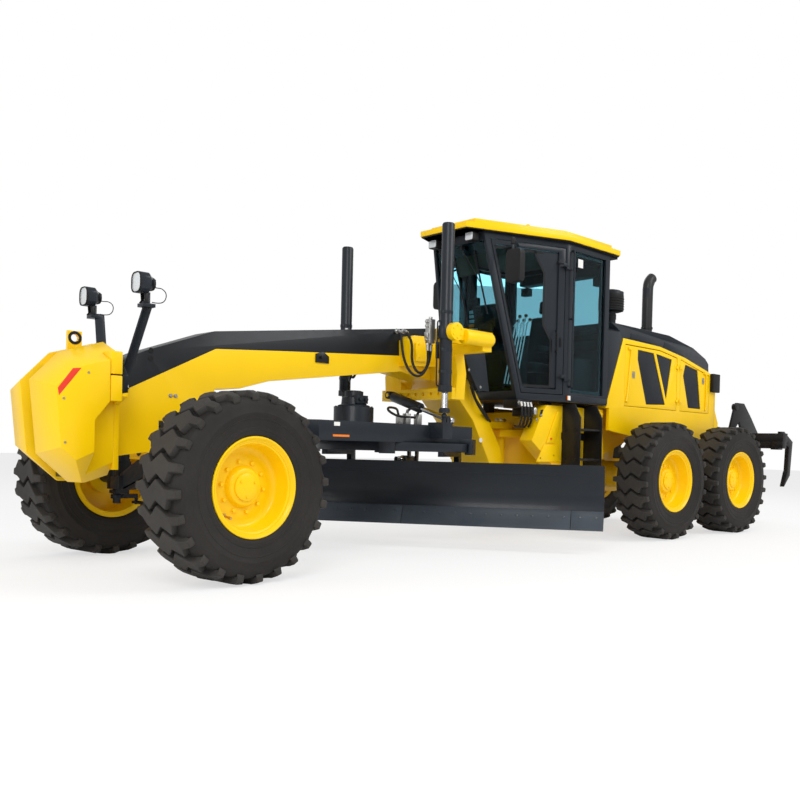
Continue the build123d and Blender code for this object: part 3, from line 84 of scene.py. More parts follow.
# Studio: a plain white floor that keeps the machine's soft shadow, a white surround for the
# lens and for what metal and glass reflect, and large soft lamps at the front left and above.
bpy.context.scene.view_settings.view_transform = "Standard"
world = bpy.data.worlds.new("surround")
bpy.context.scene.world = world
world.use_nodes = True
air = world.node_tree
air.nodes.clear()
SURROUND = 0.62  # strength in reflections; the lens sees full white
FLOOR_GLOW = 0.62  # share of the floor that shines by itself before the lens


def node_in(tree, kind, values=(), operation=None):
    """A new node with its inputs set by name or by place."""
    node = tree.nodes.new(kind)
    if operation:
        node.operation = operation
    for label, value in dict(values).items():
        node.inputs[label].default_value = value
    return node


def wired(tree, *joints):
    """Joins nodes: each joint is a node, its output, the next node and its input."""
    for source, out, target, into in joints:
        tree.links.new(source.outputs[out], target.inputs[into])


seen = node_in(air, "ShaderNodeLightPath")
either = node_in(air, "ShaderNodeMath", operation="MAXIMUM")
glow = node_in(air, "ShaderNodeMath", {1: 1 - SURROUND, 2: SURROUND}, "MULTIPLY_ADD")
sky = node_in(air, "ShaderNodeBackground", {"Color": (1, 1, 1, 1)})
shown = node_in(air, "ShaderNodeOutputWorld")
wired(air, (seen, "Is Camera Ray", either, 0), (seen, "Is Transmission Ray", either, 1),
      (either, 0, glow, 0), (glow, 0, sky, "Strength"), (sky, 0, shown, "Surface"))

floor_mesh = bpy.data.meshes.new("floor")
floor_mesh.from_pydata([(-60, -60, 0), (60, -60, 0), (60, 60, 0), (-60, 60, 0)], [], [(0, 1, 2, 3)])
floor = placed("floor", floor_mesh)
paving = bpy.data.materials.new("white_floor")
paving.use_nodes = True
ground = paving.node_tree
ground.nodes.clear()
matt = node_in(ground, "ShaderNodeBsdfDiffuse", {"Color": (0.93, 0.93, 0.93, 1)})
shine = node_in(ground, "ShaderNodeEmission", {"Strength": 1.0})
blend = node_in(ground, "ShaderNodeMixShader")
path = node_in(ground, "ShaderNodeLightPath")
share = node_in(ground, "ShaderNodeMath", {1: FLOOR_GLOW}, "MULTIPLY")
done = node_in(ground, "ShaderNodeOutputMaterial")
wired(ground, (path, "Is Camera Ray", share, 0), (share, 0, blend, 0), (matt, 0, blend, 1),
      (shine, 0, blend, 2), (blend, 0, done, "Surface"))
floor_mesh.materials.append(paving)
for name, place, aim, size, power in (
        ("key", (9.5, 7.5, 8.0), (0.5, 0.3, 1.0), 5.0, 600),
        ("side", (-4.0, 9.0, 9.5), (-1.0, 0, 1.2), 6.0, 640),
        ("front", (13.0, -1.5, 4.0), (4.0, 0, 1.0), 4.0, 170),
        ("back", (-8.0, -9.0, 8.0), (-1.0, 0, 1.5), 6.0, 230)):
    lamp = bpy.data.lights.new(name, "AREA")
    lamp.size, lamp.energy = size, power
    holder = placed(name, lamp)
    holder.matrix_world = (Matrix.Translation(place)
                           @ (Vector(place) - Vector(aim)).to_track_quat("Z", "Y").to_matrix().to_4x4())


# Main beam: a welded box beam from the nose to the articulation, with its bent rear leg.
# It is plate steel in yellow enamel, and dark slate above a slanting paint line.
def enamel(name, colour, rough=0.34, coat=0.10, metal=0.0, peel=0.02, grain=700.0, tone=0.05, dust=0.0):
    """A surface whose tone, roughness and fine relief vary over the piece."""
    m = bpy.data.materials.new(name)
    m.use_nodes = True
    tree = m.node_tree
    surface = tree.nodes["Principled BSDF"]
    for label, value in (("Metallic", metal), ("Coat Weight", coat), ("Coat Roughness", 0.12),
                         ("Specular IOR Level", 0.22)):
        surface.inputs[label].default_value = value
    place = node_in(tree, "ShaderNodeTexCoord")
    cloud = node_in(tree, "ShaderNodeTexNoise", {"Scale": 2.1, "Detail": 5.0})
    shades = node_in(tree, "ShaderNodeValToRGB")
    low = [c * (1 - tone) for c in colour]
    high = [min(1.0, c * (1 + tone) + dust) for c in colour]
    for stop, position, shade in zip(shades.color_ramp.elements, (0.3, 0.7), (low, high)):
        stop.position, stop.color = position, (*shade, 1)
    smear = node_in(tree, "ShaderNodeTexNoise", {"Scale": 17.0, "Detail": 6.0})
    spread = node_in(tree, "ShaderNodeMapRange", {"To Min": rough - 0.06, "To Max": rough + 0.09})
    fine = node_in(tree, "ShaderNodeTexNoise", {"Scale": grain, "Detail": 2.0})
    relief = node_in(tree, "ShaderNodeBump", {"Strength": peel * 10, "Distance": 0.0006})
    wired(tree, (place, "Object", cloud, "Vector"), (cloud, "Fac", shades, "Fac"),
          (shades, "Color", surface, "Base Color"), (place, "Object", smear, "Vector"),
          (smear, "Fac", spread, "Value"), (spread, "Result", surface, "Roughness"),
          (place, "Object", fine, "Vector"), (fine, "Fac", relief, "Height"),
          (relief, "Normal", surface, "Normal"))
    return m


YELLOW = (0.935, 0.585, 0.0014)
SLATE = (0.0135, 0.0175, 0.0235)
yellow_enamel = enamel("yellow_enamel", YELLOW, tone=0.03)
slate_enamel = enamel("slate_enamel", SLATE, rough=0.38, tone=0.12)
beam_enamel = enamel("beam_enamel", YELLOW, tone=0.03)


def paint_above(m, line, above):
    """Repaints a material above a broken line given as X, Z points from rear to front."""
    tree = m.node_tree
    top = 3.0  # the height in metres that the curve's full scale stands for
    place = node_in(tree, "ShaderNodeTexCoord")
    split = node_in(tree, "ShaderNodeSeparateXYZ")
    rear, front = line[0][0], line[-1][0]
    along = node_in(tree, "ShaderNodeMapRange", {"From Min": rear, "From Max": front})
    edge = node_in(tree, "ShaderNodeFloatCurve")
    curve = edge.mapping.curves[0]
    for i, (x, z) in enumerate(line):
        spot = ((x - rear) / (front - rear), z / top)
        if i in (0, len(line) - 1):
            curve.points[0 if i == 0 else -1].location = spot
        else:
            curve.points.new(*spot)
    for point in curve.points:
        point.handle_type = "VECTOR"
    edge.mapping.update()
    height = node_in(tree, "ShaderNodeMath", {1: top}, "MULTIPLY")
    over = node_in(tree, "ShaderNodeMath", operation="GREATER_THAN")
    wired(tree, (place, "Object", split, 0), (split, "X", along, "Value"), (along, "Result", edge, "Value"),
          (edge, "Value", height, 0), (split, "Z", over, 0), (height, 0, over, 1))
    mix = node_in(tree, "ShaderNodeMix")
    mix.data_type = "RGBA"
    colour = [s for s in mix.inputs if s.type == "RGBA"]
    colour[1].default_value = (*above, 1)
    base = tree.nodes["Principled BSDF"].inputs["Base Color"]
    tree.links.new(base.links[0].from_socket, colour[0])
    tree.links.new(over.outputs[0], mix.inputs[0])
    result = [s for s in mix.outputs if s.type == "RGBA"][0]
    tree.links.new(result, base)


def piece_of(mesh, name, finish, body, slot, angle=35):
    """Links a finished mesh as one piece that rides on a body."""
    mesh.materials.clear()
    mesh.materials.append(finish)
    mesh.shade_smooth()
    mesh.set_sharp_from_angle(angle=math.radians(angle))
    piece = placed(name, mesh)
    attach(piece, body)
    return piece


def settled(holder, *helpers):
    """Takes an object away with its helpers, and returns its mesh with the modifiers worked in."""
    whole = bpy.context.evaluated_depsgraph_get()
    mesh = bpy.data.meshes.new_from_object(holder.evaluated_get(whole))
    for thing in (holder, *helpers):
        bpy.data.objects.remove(thing)
    return mesh


def rounded(mesh, width, steps=2, limit=30):
    """The mesh with its sharp edges rounded to a width."""
    holder = placed("blank", mesh)
    if width:
        bevel = holder.modifiers.new("bevel", "BEVEL")
        bevel.width, bevel.segments = width, steps
        bevel.limit_method, bevel.angle_limit = "ANGLE", math.radians(limit)
        bevel.use_clamp_overlap = True
        bevel.harden_normals = False
    return settled(holder)


def carved(mesh, cutter):
    """The mesh less the cutter's solid."""
    holder, tool = placed("whole", mesh), placed("tool", cutter)
    cut = holder.modifiers.new("cut", "BOOLEAN")
    cut.object, cut.operation, cut.solver = tool, "DIFFERENCE", "EXACT"
    return settled(holder, tool)


def dressed(node, finish, slot, width=0.004, move=None, cutter=None):
    """A copy of a CAD node with its plate edges rounded, standing for it."""
    work = bmesh.new()
    work.from_mesh(frame["nodes"][node].data)
    bmesh.ops.remove_doubles(work, verts=work.verts, dist=0.00002)
    bmesh.ops.dissolve_limit(work, angle_limit=math.radians(1), verts=work.verts, edges=work.edges)
    for v in work.verts if move else ():
        v.co = move(v.co)
    name = f"{node}_shell"
    mesh = bpy.data.meshes.new(name)
    work.to_mesh(mesh)
    work.free()
    mesh = rounded(carved(mesh, cutter) if cutter else mesh, width)
    mesh.name = name
    piece = piece_of(mesh, name, finish, frame["nodes"][node]["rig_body"], slot)
    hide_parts(node)
    return piece


BEAM_LINE = [(-0.30, 1.86), (1.77, 1.85), (2.99, 1.77), (3.69, 1.72), (4.46, 1.32), (4.56, 1.30)]
paint_above(beam_enamel, BEAM_LINE, (0.0062, 0.0082, 0.0112))
dressed("main_beam", beam_enamel, "yellow", 0.005)


# Small plate work for the beam: zinc-plated bolt heads behind the nose flange, a black tab with
# its pin half way along, and two ringed ports on each side. All of it is bolted on.
UP, LEFT, ORIGIN = (0, 0, 1), (0, 1, 0), (0, 0, 0)


def prism_faces(n):
    """The two ends and the sides of a prism with n corners to an end."""
    sides = [(i, i + n, (i + 1) % n + n, (i + 1) % n) for i in range(n)]
    return [tuple(range(n)), tuple(range(2 * n - 1, n - 1, -1))] + sides


class Stock:
    """Gathers closed solids in metres and makes one piece of them."""

    def __init__(self):
        self.mesh = bmesh.new()

    def add(self, points, faces):
        made = [self.mesh.verts.new(p) for p in points]
        for f in faces:
            self.mesh.faces.new([made[i] for i in f])
        return self

    def plate(self, outline, low, high, across="y"):
        """A prism: its outline lies square to one axis and runs from low to high along it."""
        def at(a, b, c):
            return {"y": (a, c, b), "x": (c, a, b), "z": (a, b, c)}[across]
        points = [at(a, b, low) for a, b in outline] + [at(a, b, high) for a, b in outline]
        return self.add(points, prism_faces(len(outline)))

    def box(self, low, high):
        (x0, y0, z0), (x1, y1, z1) = low, high
        return self.plate([(x0, y0), (x1, y0), (x1, y1), (x0, y1)], z0, z1, "z")

    def turned(self, profile, centre, axis, sides=32):
        """A body of revolution from a closed line of (radius, along) corners, or a capped open one."""
        axis = Vector(axis).normalized()
        side = axis.orthogonal().normalized()
        other = axis.cross(side)
        centre = Vector(centre)
        closed = profile[0][0] > 1e-6 and profile[-1][0] > 1e-6
        rings = []
        for radius, along in profile:
            if radius < 1e-6:
                rings.append([self.mesh.verts.new(centre + axis * along)] * sides)
                continue
            rings.append([self.mesh.verts.new(centre + axis * along
                          + side * radius * math.cos(2 * math.pi * k / sides)
                          + other * radius * math.sin(2 * math.pi * k / sides)) for k in range(sides)])
        pairs = list(zip(rings, rings[1:])) + ([(rings[-1], rings[0])] if closed else [])
        for first, second in pairs:
            for k in range(sides):
                ring = [first[k], first[(k + 1) % sides], second[(k + 1) % sides], second[k]]
                corners = list(dict.fromkeys(ring))
                if len(corners) > 2:
                    self.mesh.faces.new(corners)
        return self

    def rod(self, start, end, radius, sides=20):
        start, end = Vector(start), Vector(end)
        length = (end - start).length
        return self.turned([(0, 0), (radius, 0), (radius, length), (0, length)], start, end - start, sides)

    def hex(self, place, axis, across, tall):
        """A bolt head on its washer."""
        self.turned([(0, 0), (across * 0.72, 0), (across * 0.72, tall * 0.2), (0, tall * 0.2)],
                    place, axis, 12)
        spot = Vector(place) + Vector(axis).normalized() * tall * 0.2
        return self.turned([(0, 0), (across * 0.57, 0), (across * 0.57, tall * 0.65),
                            (across * 0.48, tall * 0.8), (0, tall * 0.8)], spot, axis, 6)

    def hexes(self, centre, axis, radius, bearings, across, tall):
        """Bolt heads on a circle round an upright axis, or one that lies across the machine."""
        x, y, z = centre
        for bearing in bearings:
            one, two = radius * math.cos(bearing), radius * math.sin(bearing)
            self.hex((x + one, y + two, z) if axis[2] else (x + one, y, z + two), axis, across, tall)

    def hose(self, points, radius, sides=12):
        """A bent tube through points, with its ends capped."""
        line = bpy.data.curves.new("line", "CURVE")
        line.dimensions = "3D"
        run = line.splines.new("NURBS")
        run.points.add(len(points) - 1)
        for spot, p in zip(run.points, points):
            spot.co = (*p, 1)
        run.order_u = 3
        run.use_endpoint_u = True
        run.resolution_u = 6
        line.bevel_depth, line.bevel_resolution, line.use_fill_caps = radius, sides // 4, True
        self.mesh.from_mesh(settled(placed("line", line)))
        return self

    def shape(self, name, edge=0.0, steps=2):
        """The gathered solids as one mesh with outward faces and rounded edges."""
        bmesh.ops.remove_doubles(self.mesh, verts=self.mesh.verts, dist=0.000005)
        bmesh.ops.recalc_face_normals(self.mesh, faces=self.mesh.faces)
        mesh = bpy.data.meshes.new(name)
        self.mesh.to_mesh(mesh)
        self.mesh.free()
        mesh = rounded(mesh, edge, steps)
        mesh.name = name
        return mesh

    def piece(self, name, finish, body, slot, edge=0.003, steps=2, both=False):
        """Makes the piece; both adds its mirror image across the machine's middle."""
        if both:
            found = self.mesh.verts[:] + self.mesh.edges[:] + self.mesh.faces[:]
            copy = bmesh.ops.duplicate(self.mesh, geom=found)["geom"]
            for v in [g for g in copy if isinstance(g, bmesh.types.BMVert)]:
                v.co.y = -v.co.y
        return piece_of(self.shape(name, edge, steps), name, finish, body, slot)


black_enamel = enamel("black_enamel", (0.010, 0.010, 0.011), rough=0.36, tone=0.12)
zinc = enamel("zinc_plate", (0.42, 0.42, 0.41), rough=0.34, coat=0.0, metal=1.0, grain=300.0, tone=0.08)
bolts = Stock()
for side in (1, -1):
    for x in (4.02, 4.06):
        bolts.hex((x, side * 0.160, 1.325), (0, side, 0), 0.022, 0.012)
    for z in (0.80, 0.93, 1.06):
        bolts.hex((4.5095, side * 0.240, z), (-1, 0, 0), 0.030, 0.016)
    bolts.hex((4.5095, side * 0.395, 1.355), (-1, 0, 0), 0.030, 0.016)
bolts.piece("beam_bolts", zinc, "front_frame", "yellow", 0.0)
tab = Stock()
tab.plate([(2.60, 1.700), (2.74, 1.700), (2.74, 1.775), (2.66, 1.800), (2.60, 1.760)], 0.160, 0.172)
tab.rod((2.69, 0.165, 1.748), (2.69, 0.200, 1.748), 0.013)
tab.piece("beam_tab", black_enamel, "front_frame", "slate", 0.002, both=True)
holes = Stock()
for z in (1.595, 1.655):
    holes.turned([(0, 0), (0.020, 0), (0.020, 0.003), (0.013, 0.003), (0.013, 0.001), (0, 0.001)],
                 (4.22, 0.160, z), LEFT, 20)
holes.piece("beam_ports", black_enamel, "front_frame", "slate", 0.0, both=True)


# Tyres: wide cross-ply grader tyres. The tread is a row of zig-zag bars moulded across the
# carcass, with narrow open grooves between them and short arms that run over the shoulders.
rubber = enamel("tyre_rubber", (0.019, 0.0165, 0.0148), rough=0.62, coat=0.0, peel=0.05, grain=420.0,
                tone=0.18, dust=0.004)
worn_rubber = enamel("tread_rubber", (0.034, 0.0305, 0.0275), rough=0.58, coat=0.0, peel=0.05, grain=420.0,
                     tone=0.22, dust=0.004)


def around(tool, count, axis_turn=0.0, name="row"):
    """Copies a mesh round the Y axis with Geometry Nodes and returns the plain result."""
    tree = bpy.data.node_groups.new(name, "GeometryNodeTree")
    for label, kind, way in (("Bar", "NodeSocketObject", "INPUT"), ("Count", "NodeSocketInt", "INPUT"),
                             ("Start", "NodeSocketFloat", "INPUT"),
                             ("Finish", "NodeSocketMaterial", "INPUT"),
                             ("Geometry", "NodeSocketGeometry", "OUTPUT")):
        tree.interface.new_socket(label, in_out=way, socket_type=kind)
    given, result = node_in(tree, "NodeGroupInput"), node_in(tree, "NodeGroupOutput")
    spots = node_in(tree, "GeometryNodePoints")
    source = node_in(tree, "GeometryNodeObjectInfo")
    copies = node_in(tree, "GeometryNodeInstanceOnPoints")
    number = node_in(tree, "GeometryNodeInputIndex")
    step = node_in(tree, "ShaderNodeMath", operation="DIVIDE")
    angle = node_in(tree, "ShaderNodeMath", {1: 2 * math.pi}, "MULTIPLY_ADD")
    spin = node_in(tree, "ShaderNodeCombineXYZ")
    solid = node_in(tree, "GeometryNodeRealizeInstances")
    coat = node_in(tree, "GeometryNodeSetMaterial")
    wired(tree, (given, "Count", spots, "Count"), (given, "Bar", source, "Object"),
          (spots, 0, copies, "Points"), (source, "Geometry", copies, "Instance"), (number, 0, step, 0),
          (given, "Count", step, 1), (step, 0, angle, 0), (given, "Start", angle, 2), (angle, 0, spin, "Y"),
          (spin, 0, copies, "Rotation"), (copies, 0, solid, 0), (solid, 0, coat, "Geometry"),
          (given, "Finish", coat, "Material"), (coat, 0, result, 0))
    bar, carrier = placed("bar", tool), placed("carrier", bpy.data.meshes.new("carrier"))
    grow = carrier.modifiers.new("row", "NODES")
    grow.node_group = tree
    keys = {s.name: s.identifier for s in tree.interface.items_tree if s.in_out == "INPUT"}
    for label, value in (("Bar", bar), ("Count", count), ("Start", axis_turn),
                         ("Finish", tool.materials[0] if tool.materials else None)):
        grow[keys[label]] = value
    bpy.context.view_layer.update()
    return settled(carrier, bar)


TYRE_R, TREAD_R = 0.669, 0.627
BARS = 24
# across the tread from the outer shoulder: place, radius, then the bar's two edges round it
BAR = [(0.2190, 0.6050, -0.026, 0.026), (0.2215, 0.6480, -0.026, 0.026), (0.1550, 0.6690, -0.030, 0.030),
       (0.1250, 0.6690, -0.036, 0.100), (0.0250, 0.6690, -0.096, 0.042), (-0.0550, 0.6690, -0.028, 0.108),
       (-0.1150, 0.6690, -0.092, 0.040), (-0.1500, 0.6690, -0.078, -0.016),
       (-0.2215, 0.6480, -0.074, -0.022), (-0.2190, 0.6050, -0.074, -0.022)]


def tread_bar():
    """One zig-zag bar at the top of the tyre, its flanks sloping to the carcass."""
    work = bmesh.new()
    rows, flank = [], 0.009
    for across, tip, fore, aft in BAR:
        root_r = min(tip, TREAD_R) - 0.012
        root_y = across * (0.93 if abs(across) > 0.2 else 1.0)
        row = []
        for run, radius, y in ((fore - flank, root_r, root_y), (fore, tip, across),
                               (aft, tip, across), (aft + flank, root_r, root_y)):
            bearing = run / TYRE_R
            row.append(work.verts.new((radius * math.sin(bearing), y, radius * math.cos(bearing))))
        rows.append(row)
    for first, second in zip(rows, rows[1:]):
        for k in range(4):
            work.faces.new([first[k], first[(k + 1) % 4], second[(k + 1) % 4], second[k]])
    work.faces.new(rows[0][::-1])
    work.faces.new(rows[-1])
    bmesh.ops.recalc_face_normals(work, faces=work.faces)
    mesh = bpy.data.meshes.new("tread_bar")
    work.to_mesh(mesh)
    work.free()
    mesh = rounded(mesh, 0.005, 1, 25)
    mesh.materials.append(worn_rubber)
    return mesh


def merged(name, meshes):
    """Several meshes as one."""
    work = bmesh.new()
    for part in meshes:
        work.from_mesh(part)
    mesh = bpy.data.meshes.new(name)
    work.to_mesh(mesh)
    work.free()
    return mesh


def tyre_mesh():
    """Carcass with its sidewall rings."""
    half = [(0.3180, 0.170), (0.345, 0.176), (0.356, 0.186), (0.366, 0.197), (0.385, 0.204), (0.392, 0.204),
            (0.396, 0.2075), (0.412, 0.2085), (0.416, 0.206), (0.450, 0.2125), (0.500, 0.2180),
            (0.506, 0.2210), (0.516, 0.2215), (0.522, 0.2180), (0.560, 0.2150), (0.598, 0.2060),
            (0.615, 0.1930), (0.624, 0.170), (0.627, 0.120), (0.6275, 0.050)]
    profile = half + [(r, -y) for r, y in reversed(half)] + [(0.56, -0.15), (0.56, 0.15)]
    carcass = Stock().turned(profile, ORIGIN, LEFT, 112)
    bead = Stock()
    for y in (0.2165, -0.2165):
        flat = 0.0015 if y > 0 else -0.0015
        bead.turned([(0.470, y - flat), (0.474, y + flat), (0.478, y + flat), (0.482, y - flat)],
                    ORIGIN, LEFT, 96)
    return merged("tyre", (carcass.shape("carcass"), bead.shape("bead")))


# Wheels: each is a tyre on a deep-dish pressed rim with a bolted hub drum. The front pair
# stands turned a little to the left.
STEER = math.radians(7.4)
AXLE_X = {"front": 4.029, "mid": -1.421, "rear": -2.959}
AXLE_Z = 0.670
WHEELS = {}
for side, sign in (("left", 1), ("right", -1)):
    for row, x in AXLE_X.items():
        here = Matrix.Translation((x, sign * 1.0775, AXLE_Z))
        if row == "front":
            pin = Vector((x, sign * 0.850, 0))
            here = (Matrix.Translation(pin) @ Matrix.Rotation(STEER, 4, "Z")
                    @ Matrix.Translation(-pin)) @ here
        WHEELS[f"{row}_{side}"] = here @ (Matrix.Identity(4) if sign > 0
                                          else Matrix.Rotation(math.pi, 4, "Z"))

tyre, tread = tyre_mesh(), around(tread_bar(), BARS, 0.05, "tread_bars")


def on_wheel(mesh, here, *how):
    """A copy of a wheel's mesh at its place, made into a piece."""
    mesh = mesh.copy()
    mesh.transform(here)
    return piece_of(mesh, *how)


for name, here in WHEELS.items():
    row, side = name.split("_")
    made = on_wheel(tyre, here, f"{name}_carcass", rubber, f"wheel_{name}", "tyre", 28)
    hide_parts(f"{row}_tyre_{side}")
    on_wheel(tread, here, f"{name}_tread_bars", worn_rubber, f"wheel_{name}", "tyre", 28)


def rim_mesh():
    """A deep-dish rim: flanges and well, the dish, and its hub drum with a raised cap."""
    body = Stock()
    body.turned([(0.352, 0.194), (0.3545, 0.188), (0.352, 0.179), (0.318, 0.176), (0.3165, 0.120),
                 (0.3165, -0.176), (0.350, -0.178), (0.353, -0.186), (0.351, -0.194), (0.340, -0.190),
                 (0.308, -0.182), (0.303, -0.150), (0.303, 0.022), (0.147, 0.024), (0.147, -0.048),
                 (0.0601, -0.048), (0.0601, 0.054), (0.030, 0.054), (0.030, 0.102), (0.092, 0.102),
                 (0.098, 0.097), (0.098, 0.086), (0.124, 0.084), (0.134, 0.076), (0.142, 0.056),
                 (0.150, 0.044), (0.215, 0.040), (0.230, 0.034), (0.262, 0.034), (0.281, 0.042),
                 (0.292, 0.060), (0.298, 0.150), (0.304, 0.166), (0.318, 0.170), (0.326, 0.176),
                 (0.335, 0.190), (0.344, 0.196)], ORIGIN, LEFT, 96)
    body.turned([(0, 0.090), (0.031, 0.090), (0.031, 0.1035), (0, 0.1035)], ORIGIN, LEFT, 24)
    return body.shape("rim")


rim = rim_mesh()
nut = Stock().hex((0, 0.040, 0.178), LEFT, 0.026, 0.018).shape("wheel_nut")
nut.materials.append(zinc)
nuts = around(nut, 10, 0.2, "wheel_nuts")
caps = Stock()
caps.hexes((0, 0.1035, 0), LEFT, 0.070, [2 * math.pi * k / 3 + 0.6 for k in range(3)], 0.013, 0.007)
caps = caps.shape("cap_bolts")
valve = Stock()
valve.rod((0.150, 0.046, -0.195), (0.150, 0.100, -0.205), 0.0075, 14)
valve.rod((0.150, 0.098, -0.2045), (0.150, 0.124, -0.210), 0.0105, 14)
valve.box((0.136, 0.034, -0.222), (0.164, 0.048, -0.180))
valve = valve.shape("valve", 0.001)
brass = enamel("brass", (0.60, 0.40, 0.16), rough=0.32, coat=0.0, metal=1.0, grain=300.0)
fasteners = merged("fasteners", (nuts, caps))
for name, here in WHEELS.items():
    row, side = name.split("_")
    made = on_wheel(rim, here, f"{name}_dish_rim", yellow_enamel, f"wheel_{name}", "yellow", 40)
    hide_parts(f"{row}_rim_{side}")
    on_wheel(fasteners, here, f"{name}_nuts", yellow_enamel, f"wheel_{name}", "yellow", 30)
    on_wheel(valve, here, f"{name}_valve", brass, f"wheel_{name}", "chrome", 30)


# Nose: two facetted cast halves with a slot between them, bolted to the beam's flange. A red
# reflector is stuck along the upper front edge of each side; a shackle eye stands on top.
dressed("nose_weight", yellow_enamel, "yellow", 0.006)
red_film = enamel("red_reflector", (0.78, 0.035, 0.012), rough=0.18, coat=0.8, peel=0.09, grain=260.0)
film = Stock()
film.plate([(4.988, 1.314), (4.980, 1.262), (4.836, 1.458), (4.893, 1.450)], 0.4495, 0.4515)
film.piece("nose_reflectors", red_film, "front_frame", "yellow", 0.0006, both=True)
trim = Stock()
for low, high in ((1.246, 1.425), (1.435, 1.595)):
    trim.box((4.553, 0.300, low), (4.634, 0.444, high))
trim.piece("nose_flange_strips", yellow_enamel, "front_frame", "yellow", 0.005, both=True)
# Painted shade: the black sheet across the back of the slot stands for the dark depth of the slot. The
# narrower block in front of it, the low bar and the two rings are in the same black.
dark = Stock()
dark.box((4.884, -0.0885, 0.868), (4.900, 0.0885, 1.495))
dark.box((4.900, -0.034, 0.880), (4.955, 0.034, 1.440))
dark.box((4.740, -0.0885, 0.700), (4.800, 0.0885, 0.735))
for side in (1, -1):
    dark.turned([(0.027, 0.0), (0.048, 0.0), (0.048, 0.004), (0.027, 0.004)], (4.720, side * 0.0148, 1.705),
                (0, side, 0), 32)
dark.piece("nose_slot_bar", black_enamel, "front_frame", "slate", 0.003)
studs = Stock()
for x, z in ((4.788, 1.430), (4.948, 1.245), (4.935, 0.950)):
    studs.hex((x, 0.4498, z), LEFT, 0.012, 0.007)
studs.piece("nose_studs", zinc, "front_frame", "yellow", 0.0, both=True)

# Work lamps: two moulded black heads with clear lenses on flat-bar stalks from the beam. Each
# has a ribbed rear cover, a fork bracket and a short stiff loop of conduit.
dressed("lamp_stalks", slate_enamel, "black", 0.004)
moulded = enamel("moulded_black", (0.011, 0.011, 0.012), rough=0.48, coat=0.0, peel=0.06, grain=900.0)
clear_lens = enamel("lamp_lens", (0.72, 0.75, 0.77), rough=0.12, coat=1.0, metal=0.35, peel=0.30,
                    grain=60.0)


def soft_square(width, height, radius, steps=5):
    """Corners of a rounded square about the origin."""
    corners = []
    for quarter, (sy, sz) in enumerate(((1, 1), (-1, 1), (-1, -1), (1, -1))):
        for k in range(steps):
            bearing = (quarter + k / (steps - 1)) * math.pi / 2
            corners.append((sy * (width / 2 - radius) + radius * math.cos(bearing),
                            sz * (height / 2 - radius) + radius * math.sin(bearing)))
    return corners


heads, glass_front, forks = Stock(), Stock(), Stock()
LAMP_Y, LAMP_Z = 0.468, 2.092
for y in (LAMP_Y, -LAMP_Y):
    def ring_at(scale, dy=y):
        return [(dy + a * scale, LAMP_Z + b * scale) for a, b in soft_square(0.150, 0.146, 0.050)]
    outer, inner = ring_at(1.01), ring_at(0.90)
    n = len(outer)
    points = [(x, a, b) for x, ring in ((4.466, outer), (4.484, outer), (4.484, inner), (4.474, inner))
              for a, b in ring]
    heads.add(points, [(r * n + i, r * n + (i + 1) % n, ((r + 1) % 4) * n + (i + 1) % n,
                        ((r + 1) % 4) * n + i) for r in range(4) for i in range(n)])
    glass_front.plate(ring_at(0.895), 4.474, 4.480, "x")
    heads.turned([(0, 0), (0.052, 0), (0.044, 0.022), (0.030, 0.026), (0, 0.026)], (4.376, y, LAMP_Z),
                 (-1, 0, 0), 24)
    for k in range(-2, 3):
        heads.box((4.352, y + k * 0.017 - 0.003, 2.062), (4.378, y + k * 0.017 + 0.003, 2.122))
    for side in (1, -1):
        forks.plate([(4.402, 2.040), (4.436, 2.040), (4.430, 1.972), (4.444, 1.952), (4.394, 1.952),
                     (4.408, 1.972)], y - 0.003 + side * 0.030, y + 0.003 + side * 0.030)
    forks.rod((4.419, y - 0.040, 2.028), (4.419, y + 0.040, 2.028), 0.008, 12)
    forks.hex((4.420, y, 1.950), UP, 0.022, 0.014)
    forks.hex((4.360, y - math.copysign(0.040, y), 1.950), UP, 0.016, 0.010)
heads.piece("lamp_heads", moulded, "front_frame", "black", 0.002)
glass_front.piece("lamp_lenses", clear_lens, "front_frame", "glass", 0.0015)
forks.piece("lamp_forks", black_enamel, "front_frame", "black", 0.001)
loop = Stock()
for y in (LAMP_Y, -LAMP_Y):
    back = y - math.copysign(0.012, y)
    loop.hose([(4.360, y, 2.074), (4.330, y, 2.070), (4.285, back, 2.076), (4.248, back, 2.046),
               (4.256, back, 1.990), (4.300, back, 1.962), (4.356, back, 1.966)], 0.0035, 8)
loop.piece("lamp_conduits", moulded, "front_frame", "black", 0.0)

# Front axle: a forged beam on a rocking pin, with leaning links, kingpin knuckles and a track rod.
# All of it is dark enamel over cast surfaces.
cast_enamel = enamel("cast_slate", SLATE, rough=0.5, coat=0.1, peel=0.09, grain=190.0, tone=0.2)
for node in ("front_axle", "lean_link_left", "lean_link_right", "knuckle_left", "knuckle_right"):
    dressed(node, cast_enamel, "slate", 0.004)
for node in ("lean_bar", "tie_rod", "tie_rod_end"):
    dressed(node, slate_enamel, "slate", 0.0015)

# Drawbar: a welded frame from the ball under the nose, with the circle drive standing on it. It
# carries a bolted gear case, a hydraulic motor with two ports, and blank labels on its side.
dressed("drawbar", slate_enamel, "slate", 0.005)
drive = Stock()
drive.turned([(0, 0), (0.150, 0), (0.150, 0.018), (0.118, 0.030), (0.112, 0.090), (0.086, 0.104),
              (0.086, 0.150), (0.060, 0.158), (0, 0.158)], (2.185, 0, 1.335), UP, 40)
drive.hexes((2.185, 0, 1.338), UP, 0.166, [2 * math.pi * k / 8 for k in range(8)], 0.020, 0.012)
drive.box((2.120, 0.070, 1.372), (2.250, 0.128, 1.446))
drive.rod((2.150, 0.120, 1.410), (2.150, 0.152, 1.410), 0.017, 14)
drive.rod((2.215, 0.120, 1.410), (2.215, 0.152, 1.410), 0.017, 14)
drive.piece("circle_drive_case", cast_enamel, "drawbar", "slate", 0.003)
blank_label = enamel("blank_label", (0.80, 0.80, 0.77), rough=0.4, coat=0.4, peel=0.01)
